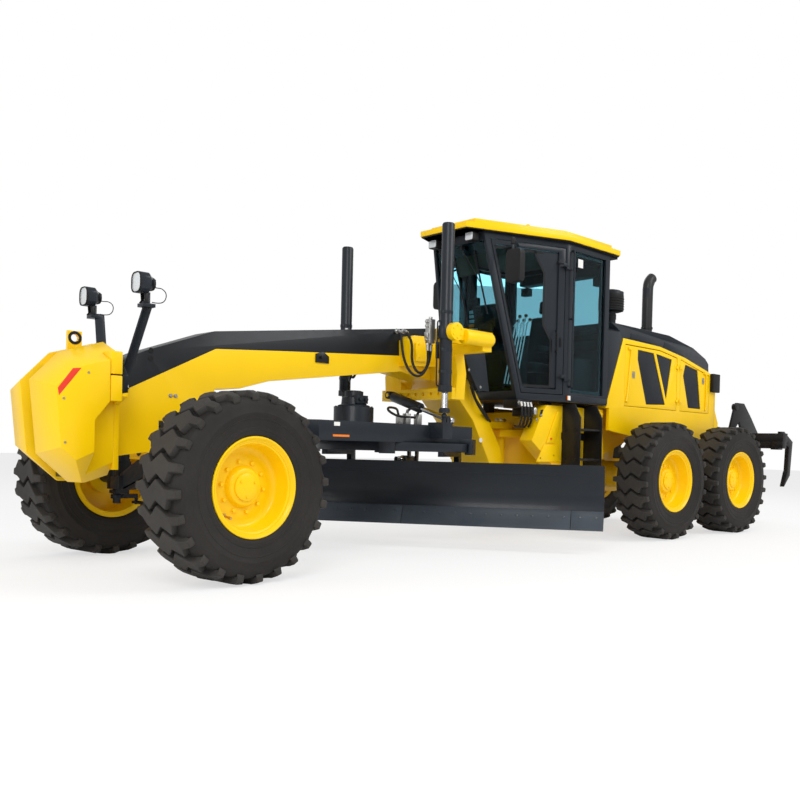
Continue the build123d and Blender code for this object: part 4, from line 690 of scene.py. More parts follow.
orange_label = enamel("orange_label", (0.82, 0.20, 0.012), rough=0.4, coat=0.4, peel=0.01)
labels = Stock()
labels.box((2.800, 0.6195, 1.140), (2.860, 0.6212, 1.172))
labels.piece("drawbar_label", blank_label, "drawbar", "slate", 0.0)
strip = Stock()
strip.box((2.700, 0.6195, 1.050), (2.870, 0.6212, 1.068))
strip.piece("drawbar_strip", orange_label, "drawbar", "slate", 0.0)

# Circle: a slewing ring with a toothed inner edge, hung in shoes under the drawbar, and its two
# arms that carry the mouldboard.
dressed("circle", slate_enamel, "slate", 0.004)
CIRCLE_X = 1.680
tooth = Stock()
tooth.plate([(-0.014, 0.652), (0.014, 0.652), (0.022, 0.668), (-0.022, 0.668)], -0.034, 0.034)
tooth = tooth.shape("tooth")
worn_steel = enamel("worn_steel", (0.20, 0.195, 0.19), rough=0.42, coat=0.0, metal=0.9, peel=0.04,
                    grain=240.0, tone=0.2)
tooth.materials.append(worn_steel)
teeth = around(tooth, 90, 0.0, "ring_teeth")
teeth.transform(Matrix.Translation((CIRCLE_X, 0, 0.9797)) @ Matrix.Rotation(math.pi / 2, 4, "X"))
piece_of(teeth, "circle_teeth", worn_steel, "circle", "slate", 30)

# Mouldboard: a rolled plate in dark enamel with hardened cutting edges and end bits bolted along
# its foot, and two slide rails at its back.
dressed("moldboard", slate_enamel, "slate", 0.003)
dressed("blade_carrier", slate_enamel, "slate", 0.004)
BLADE_YAW = math.radians(34.0)
ON_BLADE = (Matrix.Translation((CIRCLE_X, 0, 0)) @ Matrix.Rotation(BLADE_YAW, 4, "Z")
            @ Matrix.Translation((-CIRCLE_X, 0, 0)))


def face_x(z):
    """The blade's front face at a height, drawn square across the machine."""
    reach = 0.140 if z < 0.535 else 0.110
    return 1.480 + reach * ((z - 0.535) / 0.310) ** 2


edge_finish = enamel("edge_enamel", (0.045, 0.056, 0.070), rough=0.42, coat=0.2, tone=0.15, peel=0.04,
                     grain=300.0)
edges = Stock()
heights = (0.2265, 0.270, 0.320, 0.370, 0.405)
for y0, y1 in ((-1.918, -1.610), (-1.606, 0.058), (0.062, 1.726), (1.730, 2.038)):
    outline = ([(face_x(z) + 0.019, z) for z in heights]
               + [(face_x(z) + 0.001, z) for z in reversed(heights)])
    edges.plate(outline, y0, y1)
mesh = edges.shape("cutting_edges", 0.003, 2)
mesh.transform(ON_BLADE)
piece_of(mesh, "cutting_edges", edge_finish, "moldboard", "slate", 30)
row = Stock()
BOLTS, BOLT_Z = 26, 0.345
for k in range(BOLTS):
    y = -1.850 + k * 3.820 / (BOLTS - 1)
    row.turned([(0, 0), (0.015, 0), (0.011, 0.007), (0, 0.008)], (face_x(BOLT_Z) + 0.0185, y, BOLT_Z),
               (1, 0, 0.42), 12)
    row.hex((face_x(BOLT_Z) - 0.027, y, BOLT_Z), (-1, 0, -0.42), 0.022, 0.018)
mesh = row.shape("plough_bolts")
mesh.transform(ON_BLADE)
piece_of(mesh, "plough_bolts", edge_finish, "moldboard", "slate", 30)


# Saddle: a welded yoke over the beam that ends in a trunnion fork at each side, with a cast pivot
# tube on each fork and a box for the lock pin. Yellow enamel; the pierced link bar hangs below.
dressed("lift_saddle", yellow_enamel, "yellow", 0.006)
yoke = Stock()
yoke.turned([(0, 0), (0.064, 0), (0.070, 0.006), (0.070, 0.330), (0.064, 0.356), (0.048, 0.376),
             (0.024, 0.387), (0, 0.390)], (1.618, 0.862, 2.000), (-1, 0, 0), 40)
yoke.plate([(1.46, 1.760), (1.78, 1.745), (1.79, 1.990), (1.74, 2.035), (1.47, 2.045)], 0.160, 0.330)
yoke.plate([(1.52, 1.800), (1.73, 1.790), (1.74, 1.960), (1.70, 1.990), (1.53, 1.995)], 0.325, 0.352)
yoke.piece("saddle_castings", yellow_enamel, "front_frame", "yellow", 0.012, 3, both=True)
caps = Stock()
caps.hexes((1.730, 0.900, 2.030), LEFT, 0.056, [math.pi * (k + 0.5) / 3 for k in range(6)], 0.017,
           0.009)
for x, z in ((1.56, 1.835), (1.70, 1.835), (1.56, 1.955), (1.70, 1.955)):
    caps.hex((x, 0.352, z), LEFT, 0.017, 0.008)
caps.piece("saddle_bolts", yellow_enamel, "front_frame", "yellow", 0.0, both=True)

# Lock valves: a bright alloy block on the inner side of each fork, fed by two short hoses that
# run under the casting from elbows on the beam. Both ends stand on the same frame.
alloy = enamel("cast_alloy", (0.46, 0.46, 0.45), rough=0.38, coat=0.0, metal=0.95, peel=0.07, grain=320.0,
               tone=0.12)
hose_rubber = enamel("hose_rubber", (0.013, 0.013, 0.014), rough=0.42, coat=0.1, peel=0.06, grain=800.0)
valve = Stock()
valve.box((1.782, 0.598, 1.930), (1.848, 0.660, 2.150))
valve.box((1.848, 0.606, 1.975), (1.868, 0.652, 2.030))
valve.box((1.770, 0.622, 1.966), (1.786, 0.660, 2.064))
for z in (1.960, 2.085, 2.125):
    valve.rod((1.848, 0.630, z), (1.874, 0.630, z), 0.013, 16)
valve.rod((1.815, 0.630, 2.150), (1.815, 0.630, 2.172), 0.017, 16)
valve.piece("lock_valves", alloy, "front_frame", "slate", 0.003, both=True)
runs = (
    [(1.819, 0.190, 2.080), (1.835, 0.245, 2.050), (1.872, 0.300, 1.934), (1.905, 0.380, 1.770),
     (1.886, 0.460, 1.650), (1.835, 0.540, 1.625), (1.790, 0.590, 1.740), (1.792, 0.618, 1.860),
     (1.794, 0.618, 1.912)],
    [(1.740, 0.190, 2.088), (1.756, 0.250, 2.060), (1.795, 0.365, 1.946), (1.835, 0.400, 1.796),
     (1.830, 0.450, 1.690), (1.810, 0.520, 1.655), (1.800, 0.590, 1.730), (1.828, 0.622, 1.840),
     (1.834, 0.622, 1.912)],
)
hoses, elbows = Stock(), Stock()
for run in runs:
    hoses.hose(run, 0.0125)
    (ax, ay, az), (bx, by, bz) = run[0], run[-1]
    elbows.rod((ax, 0.158, az), (ax, ay + 0.012, az), 0.012, 16)
    elbows.hex((ax, 0.160, az), LEFT, 0.034, 0.014)
    elbows.rod((ax, ay - 0.006, az), (ax + 0.010, ay + 0.048, az - 0.024), 0.0155, 16)
    elbows.rod((bx, by, bz - 0.050), (bx, by, bz + 0.020), 0.0155, 16)
    elbows.hex((bx, by, bz + 0.002), UP, 0.030, 0.014)
hoses.piece("lock_hoses", hose_rubber, "front_frame", "black", 0.0, both=True)
elbows.piece("lock_elbows", zinc, "front_frame", "slate", 0.0, both=True)

# Lift cylinders: drawn tube in dark enamel with a trunnion collar, a hard pipe clamped along it,
# and a chromed rod. A swivel cap closes each rod's ball.
chrome = enamel("chrome", (0.52, 0.53, 0.55), rough=0.16, coat=0.0, metal=1.0, peel=0.005, tone=0.04)
LIFT_X, LIFT_Y = 1.730, 0.75
for side, word in ((1, "left"), (-1, "right")):
    dressed(f"lift_barrel_{word}", slate_enamel, "black", 0.003)
    dressed(f"lift_rod_{word}", chrome, "chrome", 0.0015)
    pipes = Stock()
    px, py = LIFT_X + 0.058, side * 0.716
    pipes.hose([(px - 0.006, py, 2.135), (px + 0.014, py, 2.130), (px + 0.020, py, 2.105),
                (px + 0.020, py, 1.90), (px + 0.020, py, 1.575), (px + 0.014, py, 1.545),
                (px - 0.006, py, 1.540)], 0.007, 8)
    for z in (2.20, 1.86, 1.66):
        pipes.turned([(0.0585, 0), (0.0615, 0), (0.0615, 0.026), (0.0585, 0.026)],
                     (LIFT_X, side * LIFT_Y, z), UP, 40)
    pipes.turned([(0.0585, 0), (0.0655, 0), (0.0655, 0.052), (0.0585, 0.058)],
                 (LIFT_X, side * LIFT_Y, 1.493), UP, 40)
    pipes.turned([(0, 0.012), (0.050, 0.012), (0.054, 0.004), (0.054, -0.002), (0, -0.002)],
                 (LIFT_X, side * LIFT_Y, 3.010), UP, 40)
    pipes.piece(f"lift_pipes_{word}", slate_enamel, f"lift_barrel_{word}", "black", 0.0)
    cup = Stock()
    cup.turned([(0.0305, 0.046), (0.0395, 0.046), (0.0495, 0.032), (0.0495, 0.000), (0.0485, 0.000),
                (0.0485, 0.0305), (0.0305, 0.0455)], (LIFT_X, side * LIFT_Y, 1.2975), UP, 32)
    cup.piece(f"lift_cup_{word}", cast_enamel, f"lift_rod_{word}", "slate", 0.0)

# Other cylinders: centre shift, blade tip and ripper. Dark enamelled barrels with welded port
# blocks, and chromed rods.
for word, rod in (("shift", "shift_rod"), ("tip", "tip_rod"), ("ripper", "ripper_rod")):
    dressed(f"{word}_barrel", slate_enamel, "black", 0.002)
    dressed(rod, chrome, "chrome", 0.0012)

# Hose bridge on the drawbar: one rubber hose runs in a wide arc from a block at the frame's left
# to one on its middle, and a short one loops between the two left blocks. The blocks are alloy.
bridge, ends = Stock(), Stock()
for run in (
        [(1.640, 0.290, 1.262), (1.760, 0.320, 1.262), (1.930, 0.330, 1.262), (2.020, 0.300, 1.310),
         (1.980, 0.250, 1.345), (1.860, 0.180, 1.350), (1.740, 0.100, 1.345), (1.660, 0.020, 1.310),
         (1.620, 0.000, 1.250)],
        [(1.790, 0.300, 1.290), (1.800, 0.330, 1.335), (1.760, 0.372, 1.350), (1.700, 0.372, 1.335),
         (1.676, 0.330, 1.300), (1.672, 0.300, 1.262)]):
    bridge.hose(run, 0.0115)
    for near, after in ((run[0], run[1]), (run[-1], run[-2])):
        aim = (Vector(after) - Vector(near)).normalized()
        ends.rod(Vector(near) - aim * 0.018, Vector(near) + aim * 0.046, 0.0145, 14)
bridge.piece("drawbar_hoses", hose_rubber, "drawbar", "black", 0.0)
for x, y, z in ((1.640, 0.290, 1.205), (1.790, 0.300, 1.205), (1.620, 0.000, 1.195)):
    ends.box((x - 0.030, y - 0.026, 1.180), (x + 0.030, y + 0.026, z + 0.090))
ends.piece("drawbar_fittings", alloy, "drawbar", "slate", 0.002)


# Hose cover: a bent dark plate on two stays at the left of the beam's leg, ahead of the cab, with
# black hoses that come out under it and run back to the frame.
cover = Stock()
cover.plate([(0.795, 1.565), (0.960, 1.565), (1.075, 1.735), (1.180, 1.925), (0.880, 1.995)], 0.412, 0.420)
cover.plate([(1.170, 1.915), (1.180, 1.925), (0.880, 1.995), (0.880, 1.985)], 0.290, 0.413)
cover.plate([(0.950, 1.570), (0.960, 1.565), (1.075, 1.735), (1.180, 1.925), (1.168, 1.920),
             (1.064, 1.738)], 0.340, 0.413)
cover.rod((1.100, 0.270, 1.860), (1.100, 0.413, 1.860), 0.014, 12)
cover.rod((0.980, 0.270, 1.690), (0.980, 0.413, 1.690), 0.014, 12)
cover.piece("hose_cover", slate_enamel, "front_frame", "slate", 0.003)
studs = Stock()
for x, z in ((1.095, 1.760), (0.925, 1.600)):
    studs.hex((x, 0.420, z), LEFT, 0.020, 0.008)
studs.piece("cover_studs", zinc, "front_frame", "slate", 0.0)
runs = Stock()
for k, (x, z) in enumerate(((1.010, 1.640), (0.985, 1.610), (0.950, 1.600))):
    runs.hose([(x, 0.375 - 0.03 * k, z), (x - 0.030, 0.370 - 0.03 * k, z - 0.070),
               (x - 0.110, 0.345, z - 0.190), (x - 0.250, 0.320, z - 0.300), (x - 0.330, 0.275, z - 0.330)],
              0.0125)
runs.piece("leg_hoses", hose_rubber, "front_frame", "black", 0.0)


# Cab shell: a welded steel cage in dark enamel under a two-step yellow roof. The brow's underside
# is black, with two square lamps fixed under it and a black gutter round the roof's edge.
def screen_x(z):
    """Front face of the leaning windscreen at a height."""
    return 0.4988 + (z - 1.590) * 0.3900 / 1.690


def on_screen(points, near, far):
    """A prism that lies along the windscreen: points are Y, Z; near and far its distances ahead."""
    spots = [(screen_x(z) + near, y, z) for y, z in points] + [(screen_x(z) + far, y, z) for y, z in points]
    return spots, prism_faces(len(points))


def screen_half(z):
    """Half the windscreen's width at a height: it narrows to the roof."""
    return 0.485 - (z - 1.590) * 0.127 / 1.510


opening = Stock()
opening.add(*on_screen([(-screen_half(1.592), 1.592), (screen_half(1.592), 1.592),
                        (screen_half(3.098), 3.098), (-screen_half(3.098), 3.098)], -0.16, 0.16))
dressed("cab_frame", slate_enamel, "slate", 0.006, cutter=opening.shape("opening"))
dressed("cab_roof", yellow_enamel, "yellow", 0.007)
brow = Stock()
brow.plate([(0.893, -0.420), (1.092, -0.337), (1.092, 0.337), (0.893, 0.420)], 3.178, 3.1895, "z")
BROW_LAMPS = (0.270, -0.270)
for y in BROW_LAMPS:
    brow.plate([(y + a, 3.125 + b) for a, b in soft_square(0.124, 0.094, 0.022)], 0.908, 0.990, "x")
brow.piece("brow_and_lamp_cases", moulded, "rear", "black", 0.004)
faces = Stock()
for y in BROW_LAMPS:
    faces.plate([(y + a, 3.125 + b) for a, b in soft_square(0.104, 0.074, 0.014)], 0.988, 0.994, "x")
faces.piece("roof_lamp_lenses", clear_lens, "rear", "glass", 0.0015)
seam = Stock()
seam.plate([(-0.950, -0.690), (-0.886, -0.785), (0.008, -0.785), (1.085, -0.331), (1.085, 0.331),
            (0.008, 0.785), (-0.886, 0.785), (-0.950, 0.690)], 3.1780, 3.1895, "z")
seam.plate([(-0.935, -0.730), (-0.760, -0.730), (-0.760, 0.730), (-0.935, 0.730)], 3.165, 3.180, "z")
seam.piece("roof_gutter", moulded, "rear", "black", 0.0)

# Glazing: tinted safety glass bonded into the openings. A printed black band hides the adhesive.
def tinted_glass(name, colour):
    m = enamel(name, colour, rough=0.02, coat=0.0, peel=0.0, grain=40.0, tone=0.02)
    surface = m.node_tree.nodes["Principled BSDF"]
    surface.inputs["Transmission Weight"].default_value = 1.0
    surface.inputs["IOR"].default_value = 1.18
    spread = next(n for n in m.node_tree.nodes if n.type == "MAP_RANGE")
    spread.inputs["To Min"].default_value = 0.0
    spread.inputs["To Max"].default_value = 0.03
    return m


ALONG = Vector((1, -0.40, 0)).normalized()
OUT = Vector((0.40, 1, 0)).normalized()
STILE = 0.033


def on_door(along, out, z):
    """A place by its distance along the left door, its distance out from the face, and height."""
    return Vector((-0.040, 0.750, 0)) + ALONG * along + OUT * out + Vector((0, 0, z))


def door_prism(stock, points, near, far):
    """Points are (along, z) in the left door's plane."""
    spots = [on_door(a, near, z) for a, z in points] + [on_door(a, far, z) for a, z in points]
    return stock.add(spots, prism_faces(len(points)))


def front_edge(z):
    """The door's leaning front edge: distance along the door at a height."""
    return (0.540 + (z - 1.500) * 0.3900 / 1.690) * math.hypot(1, 0.40)


def mirror_in(spot):
    """Draws the mirror on its arm a little closer to the cab."""
    if abs(spot.y) < 0.81:
        return spot
    return Vector((spot.x, spot.y - math.copysign(0.060, spot.y), spot.z))


def mirrored(stock):
    for v in stock.mesh.verts:
        v.co.y = -v.co.y
    return stock


blue_glass = tinted_glass("blue_glass", (0.37, 0.62, 0.69))


def widen_screen(spot):
    """Takes the windscreen's corners out to the width of its opening."""
    if spot.x < 0.3:
        return spot
    return Vector((spot.x, math.copysign(screen_half(spot.z) - 0.0005, spot.y), spot.z))


def to_door_edge(spot):
    """Takes a door pane's leading edge forward into the slender frame."""
    if spot.x < 0.2:
        return spot
    return spot + Vector((ALONG.x, math.copysign(ALONG.y, -spot.y), 0)) * STILE


dressed("cab_glass", blue_glass, "glass", 0.0, move=widen_screen)
for node in ("door_glass_left", "door_glass_right"):
    dressed(node, blue_glass, "glass", 0.0, move=to_door_edge)
gloss_black = enamel("printed_black", (0.006, 0.007, 0.008), rough=0.16, coat=0.6, peel=0.004)
band = Stock()
for outline in ([(-0.358, 2.985), (0.358, 2.985), (0.358, 3.098), (-0.358, 3.098)],
                [(-0.480, 1.593), (0.480, 1.593), (0.476, 1.640), (-0.476, 1.640)],
                [(-screen_half(1.64) + 0.002, 1.641), (-screen_half(1.64) + 0.022, 1.641),
                 (-screen_half(2.984) + 0.022, 2.984), (-screen_half(2.984) + 0.002, 2.984)],
                [(screen_half(1.64) - 0.022, 1.641), (screen_half(1.64) - 0.002, 1.641),
                 (screen_half(2.984) - 0.002, 2.984), (screen_half(2.984) - 0.022, 2.984)]):
    band.add(*on_screen(outline, -0.0095, -0.0065))
for side in (1, -1):
    y0, y1 = side * 0.7215, side * 0.7235
    for x0, x1, z0, z1 in ((-0.688, -0.640, 1.602, 3.108), (-0.152, -0.112, 1.602, 3.108),
                           (-0.639, -0.153, 1.602, 1.640), (-0.639, -0.153, 3.070, 3.108)):
        band.box((x0, min(y0, y1), z0), (x1, max(y0, y1), z1))
band.piece("printed_bands", gloss_black, "rear", "black", 0.0)
sheet_label = Stock()
sheet_label.box((-0.300, 0.7305, 2.955), (-0.215, 0.7312, 3.045))
sheet_label.piece("window_label", blank_label, "rear", "glass", 0.0)

# Wipers: two arms hang from the header, each with a sprung blade laid on the glass.
wipers = Stock()
for top, elbow, low in ((0.050, (0.235, 2.700), (0.270, 2.380)),
                        (-0.260, (-0.060, 2.640), (-0.020, 2.300))):
    (ey, ez), (by, bz) = elbow, low
    wipers.rod((screen_x(3.060) + 0.012, top, 3.060), (screen_x(3.060) + 0.052, top, 3.060), 0.020, 16)
    wipers.rod((screen_x(3.060) + 0.045, top, 3.060), (screen_x(ez) + 0.024, ey, ez), 0.0055, 8)
    high_y, high_z = 2 * ey - by, 2 * ez - bz
    wipers.rod((screen_x(high_z) + 0.016, high_y, high_z), (screen_x(bz) + 0.016, by, bz), 0.006, 8)
    wipers.add(*on_screen([(high_y - 0.004, high_z), (high_y + 0.004, high_z), (by + 0.004, bz),
                           (by - 0.004, bz)], 0.001, 0.012))
wipers.piece("wipers", moulded, "rear", "black", 0.0)

# Cab doors: slender welded frames with a stepped inner band, a pull handle, and a mirror on a
# tubular arm. Each is dark enamel and swings on two pins at its rear edge.
MIRROR_Z = 2.760
for side, word in ((1, "left"), (-1, "right")):
    body = f"cab_door_{word}"
    slot_cut = Stock()
    door_prism(slot_cut, [(front_edge(1.638) - 0.130, 1.638), (front_edge(1.638) - 0.123 + STILE, 1.638),
                          (front_edge(3.052) - 0.123 + STILE, 3.052), (front_edge(3.052) - 0.130, 3.052)],
               -0.080, 0.040)
    if side < 0:
        mirrored(slot_cut)
    dressed(body, slate_enamel, "black", 0.003, cutter=slot_cut.shape("slot"),
            move=mirror_in if side > 0 else None)
    edge = Stock()
    step = [(0.098, 1.640), (0.205, 1.640), (0.205, 2.130), (0.300, 2.290), (0.300, 2.830), (0.400, 3.000),
            (0.420, 3.056), (0.098, 3.056)]
    inner = [(0.098, 1.640), (0.180, 1.640), (0.180, 2.140), (0.275, 2.300), (0.275, 2.835), (0.372, 3.005),
             (0.388, 3.056), (0.098, 3.056)]
    door_prism(edge, inner, -0.0195, -0.0165)
    plate = edge.shape(f"door_band_{word}")
    line = Stock()
    for k in range(1, len(step) - 2):
        (a0, z0), (a1, z1) = inner[k], step[k]
        (a2, z2), (a3, z3) = step[k + 1], inner[k + 1]
        door_prism(line, [(a0, z0), (a1, z1), (a2, z2), (a3, z3)], -0.0190, -0.0160)
    for z0, z1 in ((1.636, 1.665), (3.030, 3.060)):
        door_prism(line, [(0.300 if z0 > 2 else 0.206, z0), (front_edge(z0) - 0.088, z0),
                          (front_edge(z1) - 0.088, z1), (0.300 if z0 > 2 else 0.206, z1)], -0.0190, -0.0160)
    door_prism(line, [(front_edge(1.64) - 0.108, 1.64), (front_edge(1.64) - 0.088, 1.64),
                      (front_edge(3.056) - 0.088, 3.056), (front_edge(3.056) - 0.108, 3.056)], -0.0195,
               -0.0165)
    frit = line.shape(f"door_frit_{word}")
    if side < 0:
        for mesh in (plate, frit):
            mesh.transform(Matrix.Scale(-1, 4, LEFT))
            mesh.flip_normals()
    piece_of(plate, f"door_band_{word}", slate_enamel, body, "black")
    piece_of(frit, f"door_frit_{word}", gloss_black, body, "black")
    fittings = Stock()
    handle = [on_door(0.150, 0.004, 2.020), on_door(0.150, 0.040, 2.022), on_door(0.150, 0.046, 2.060),
              on_door(0.150, 0.046, 2.200), on_door(0.150, 0.040, 2.238), on_door(0.150, 0.004, 2.240)]
    fittings.hose([tuple(p) for p in handle], 0.009, 10)
    door_prism(fittings, [(0.072, 2.080), (0.092, 2.080), (0.092, 2.170), (0.072, 2.170)], 0.000, 0.014)
    fittings.hex(tuple(on_door(0.120, 0.0, 2.960)), tuple(OUT), 0.030, 0.012)
    foot = Vector((0.510, 0.515, 3.040)) if side > 0 else Vector((0.250, 0.620, 3.040))
    tip = Vector((0.930, 0.820, 2.985)) if side > 0 else Vector((0.250, 0.880, 2.985))
    fittings.rod(foot, tip, 0.011, 14)
    mx, my = tip.x, tip.y
    fittings.turned([(0, 0), (0.024, 0), (0.024, 0.052), (0, 0.052)], (mx, my, 2.975), UP, 20)
    shell = [(my + 0.035 + a, MIRROR_Z + b) for a, b in soft_square(0.190, 0.320, 0.050, 7)]
    fittings.plate(shell, mx - 0.036, mx + 0.036, "x")
    if side < 0:
        mirrored(fittings)
    mesh = fittings.shape(f"door_fittings_{word}", 0.010, 3)
    piece_of(mesh, f"door_fittings_{word}", moulded, body, "black")
    silver = Stock()
    silver.plate([(my + 0.035 + a, MIRROR_Z + b) for a, b in soft_square(0.166, 0.296, 0.040, 7)],
                 mx - 0.039, mx - 0.0355, "x")
    if side < 0:
        mirrored(silver)
    mesh = silver.shape(f"mirror_glass_{word}", 0.0)
    piece_of(mesh, f"mirror_glass_{word}", chrome, body, "chrome")

# Grab rails and sill trim: a tubular rail up each rear post of the doorway, and a sill strip with
# a blank sticker.
rails = Stock()
rails.hose([(-0.078, 0.748, 1.660), (-0.078, 0.786, 1.664), (-0.078, 0.792, 1.700), (-0.078, 0.792, 2.300),
            (-0.078, 0.792, 3.040), (-0.078, 0.788, 3.090), (-0.078, 0.748, 3.100)], 0.011, 12)
for z in (1.664, 2.380, 3.096):
    rails.rod((-0.078, 0.750, z), (-0.078, 0.792, z), 0.012, 12)
rails.piece("grab_rails", slate_enamel, "rear", "black", 0.0, both=True)
sill = Stock()
sill.box((-0.766, 0.750, 1.512), (-0.042, 0.762, 1.572))
sill.piece("sill_strips", slate_enamel, "rear", "slate", 0.004, both=True)
tag = Stock()
tag.box((-0.100, 0.7618, 1.520), (-0.062, 0.7628, 1.566))
tag.piece("sill_label", blank_label, "rear", "slate", 0.0, both=True)
tag = Stock()
tag.box((-0.061, 0.7618, 1.520), (-0.044, 0.7628, 1.566))
tag.piece("sill_label_end", orange_label, "rear", "slate", 0.0, both=True)


# Cab inside: moulded consoles and floor under a tan roof lining. Lever rods, knobs, pedals and
# the instrument pod stand round the driver.
dressed("cab_controls", moulded, "plastic", 0.006)
cabin = Stock()
cabin.plate([(-0.715, -0.692), (-0.060, -0.692), (0.400, -0.508), (0.400, -0.370), (-0.715, -0.370)], 1.552,
            2.060, "z")
cabin.plate([(-0.715, 0.640), (-0.300, 0.640), (-0.300, 0.400), (-0.715, 0.400)], 1.552, 2.000, "z")
cabin.plate([(-0.715, -0.690), (-0.715, 0.690), (-0.640, 0.690), (-0.640, -0.690)], 1.552, 2.110, "z")
cabin.add(*on_screen([(-0.330, 1.645), (0.330, 1.645), (0.330, 1.985), (-0.330, 1.985)], -0.060, -0.030))
cabin.plate([(0.300, 2.130), (0.460, 2.360), (0.500, 2.500), (0.440, 2.540), (0.360, 2.500),
             (0.280, 2.200)], -0.150, 0.150)
cabin.plate([(0.250, 1.610), (0.400, 1.610), (0.440, 2.340), (0.330, 2.200)], -0.095, 0.095)
cabin.plate([(0.100, 2.055), (0.170, 2.055), (0.160, 2.700), (0.110, 2.700)], -0.560, -0.400)
cabin.box((-0.560, -0.360, 2.060), (-0.060, -0.265, 2.130))
cabin.box((-0.560, 0.265, 2.060), (-0.060, 0.360, 2.130))
cabin.box((-0.520, 0.290, 1.552), (-0.400, 0.350, 2.062))
cabin.piece("cab_trim", moulded, "rear", "plastic", 0.014, 3)
lining = enamel("roof_lining", (0.150, 0.115, 0.080), rough=0.75, coat=0.0, peel=0.05, grain=900.0,
                tone=0.1)
head = Stock()
head.plate([(-0.700, -0.690), (-0.060, -0.690), (0.720, -0.385), (0.720, 0.385), (-0.060, 0.690),
            (-0.700, 0.690)], 3.135, 3.172, "z")
head.box((-0.716, -0.560, 2.100), (-0.706, 0.560, 2.118))
head.plate([(0.60, 3.140), (0.66, 3.140), (0.50, 2.870), (0.47, 2.870)], -0.360, -0.060)
head.piece("roof_lining", lining, "rear", "plastic", 0.006)
rods, ball, knobs = Stock(), Stock(), Stock()
for side in (1, -1):
    for k in range(5):
        y, top = side * (0.135 + 0.044 * k), 0.335 - 0.045 * k
        rods.rod((top + 0.160, side * 0.346, 1.660), (top, side * 0.346, 2.320), 0.0075, 12)
        knobs.rod((top + 0.168, side * 0.346, 1.625), (top + 0.158, side * 0.346, 1.668), 0.012, 10)
        grip = (0.096, y + side * 0.010, 2.438) if k in (1, 3) else (0.066, y, 2.396)
        rods.rod((top, side * 0.346, 2.317), (0.130, y, 2.330), 0.006, 10)
        rods.rod((0.130, y, 2.328), grip, 0.005, 10)
        ball.turned([(0, -0.020), (0.012, -0.017), (0.019, -0.006), (0.019, 0.006), (0.012, 0.016),
                     (0, 0.019)], grip, UP, 16)
bright_rod = enamel("bright_rod", (0.80, 0.80, 0.80), rough=0.30, coat=0.0, metal=0.7, peel=0.01, tone=0.04)
rods.piece("lever_rods", bright_rod, "rear", "chrome", 0.0)
knobs.piece("lever_feet", moulded, "rear", "black", 0.0)
amber = enamel("amber_knob", (0.24, 0.075, 0.018), rough=0.3, coat=0.4, peel=0.01)
ball.piece("lever_knobs", amber, "rear", "plastic", 0.0)
SLAB_FACES = [(0, 1, 2, 3), (7, 6, 5, 4), (0, 4, 5, 1), (1, 5, 6, 2), (2, 6, 7, 3), (3, 7, 4, 0)]
pads = Stock()
for y in (-0.115, 0.115):
    pads.add([(0.300, y - 0.04, 1.620), (0.300, y + 0.04, 1.620), (0.360, y + 0.04, 1.720),
              (0.360, y - 0.04, 1.720), (0.312, y - 0.04, 1.612), (0.312, y + 0.04, 1.612),
              (0.372, y + 0.04, 1.712), (0.372, y - 0.04, 1.712)], SLAB_FACES)
pads.box((-0.700, -0.690, 1.5502), (0.100, 0.690, 1.556))
pads.piece("pedals_and_mat", rubber, "rear", "tyre", 0.0)
switches, lamps_on = Stock(), Stock()
for k, z in enumerate((2.520, 2.470, 2.415, 2.365, 2.320)):
    (lamps_on if k == 3 else switches).box((0.158, -0.520, z), (0.172, -0.440, z + 0.034))
switches.piece("rocker_switches", enamel("switch_face", (0.30, 0.45, 0.48), rough=0.4, coat=0.2), "rear",
               "plastic", 0.002)
lamps_on.piece("warning_switch", orange_label, "rear", "plastic", 0.002)
gauges = Stock()
for y, z in ((-0.070, 2.420), (0.070, 2.420), (0.0, 2.330)):
    gauges.turned([(0, 0), (0.040, 0), (0.040, 0.006), (0.034, 0.006), (0.034, 0.002), (0, 0.002)],
                  (0.300 + (z - 2.20) * 0.285, y, z), (-1, 0, 0.28), 24)
gauges.piece("gauges", blank_label, "rear", "plastic", 0.0)

# Seat: foam cushion, back and head rest under woven cloth with piped seams. The cushion stands on
# a black box base, and the head rest on two posts.
woven = enamel("seat_cloth", (0.016, 0.016, 0.018), rough=0.85, coat=0.0, peel=0.09, grain=1400.0, tone=0.2)
woven.node_tree.nodes["Principled BSDF"].inputs["Sheen Weight"].default_value = 0.25


def padded(name, outline, low, high, cap):
    """A foam block whose X, Z outline is given: swollen by a short cloth run, then smoothed."""
    holder = placed(name, Stock().plate(outline, low, high).shape(name, 0.034, 4))
    fine = holder.modifiers.new("grid", "REMESH")
    fine.mode, fine.voxel_size = "VOXEL", 0.006
    whole = bpy.context.evaluated_depsgraph_get()
    mesh = bpy.data.meshes.new_from_object(holder.evaluated_get(whole))
    holder.modifiers.clear()
    holder.data = mesh
    rest = [v.co.copy() for v in mesh.vertices]
    cloth = holder.modifiers.new("cloth", "CLOTH")
    cloth.settings.use_pressure = True
    cloth.settings.uniform_pressure_force = 4.0
    cloth.settings.effector_weights.gravity = 0.0
    scene = bpy.context.scene
    for step in range(1, 21):
        scene.frame_set(step)
        whole = bpy.context.evaluated_depsgraph_get()
        moved = holder.evaluated_get(whole)
        places = [v.co.copy() for v in moved.data.vertices]
    holder.modifiers.clear()
    scene.frame_set(1)
    for v, start, end in zip(mesh.vertices, rest, places):
        shift = end - start
        v.co = start + shift * min(1.0, cap / max(shift.length, 1e-9))
    smooth = holder.modifiers.new("smooth", "SUBSURF")
    smooth.levels = smooth.render_levels = 1
    done = settled(holder)
    done.name = name
    piece = piece_of(done, name, woven, "rear", "seat", 180)
    return piece


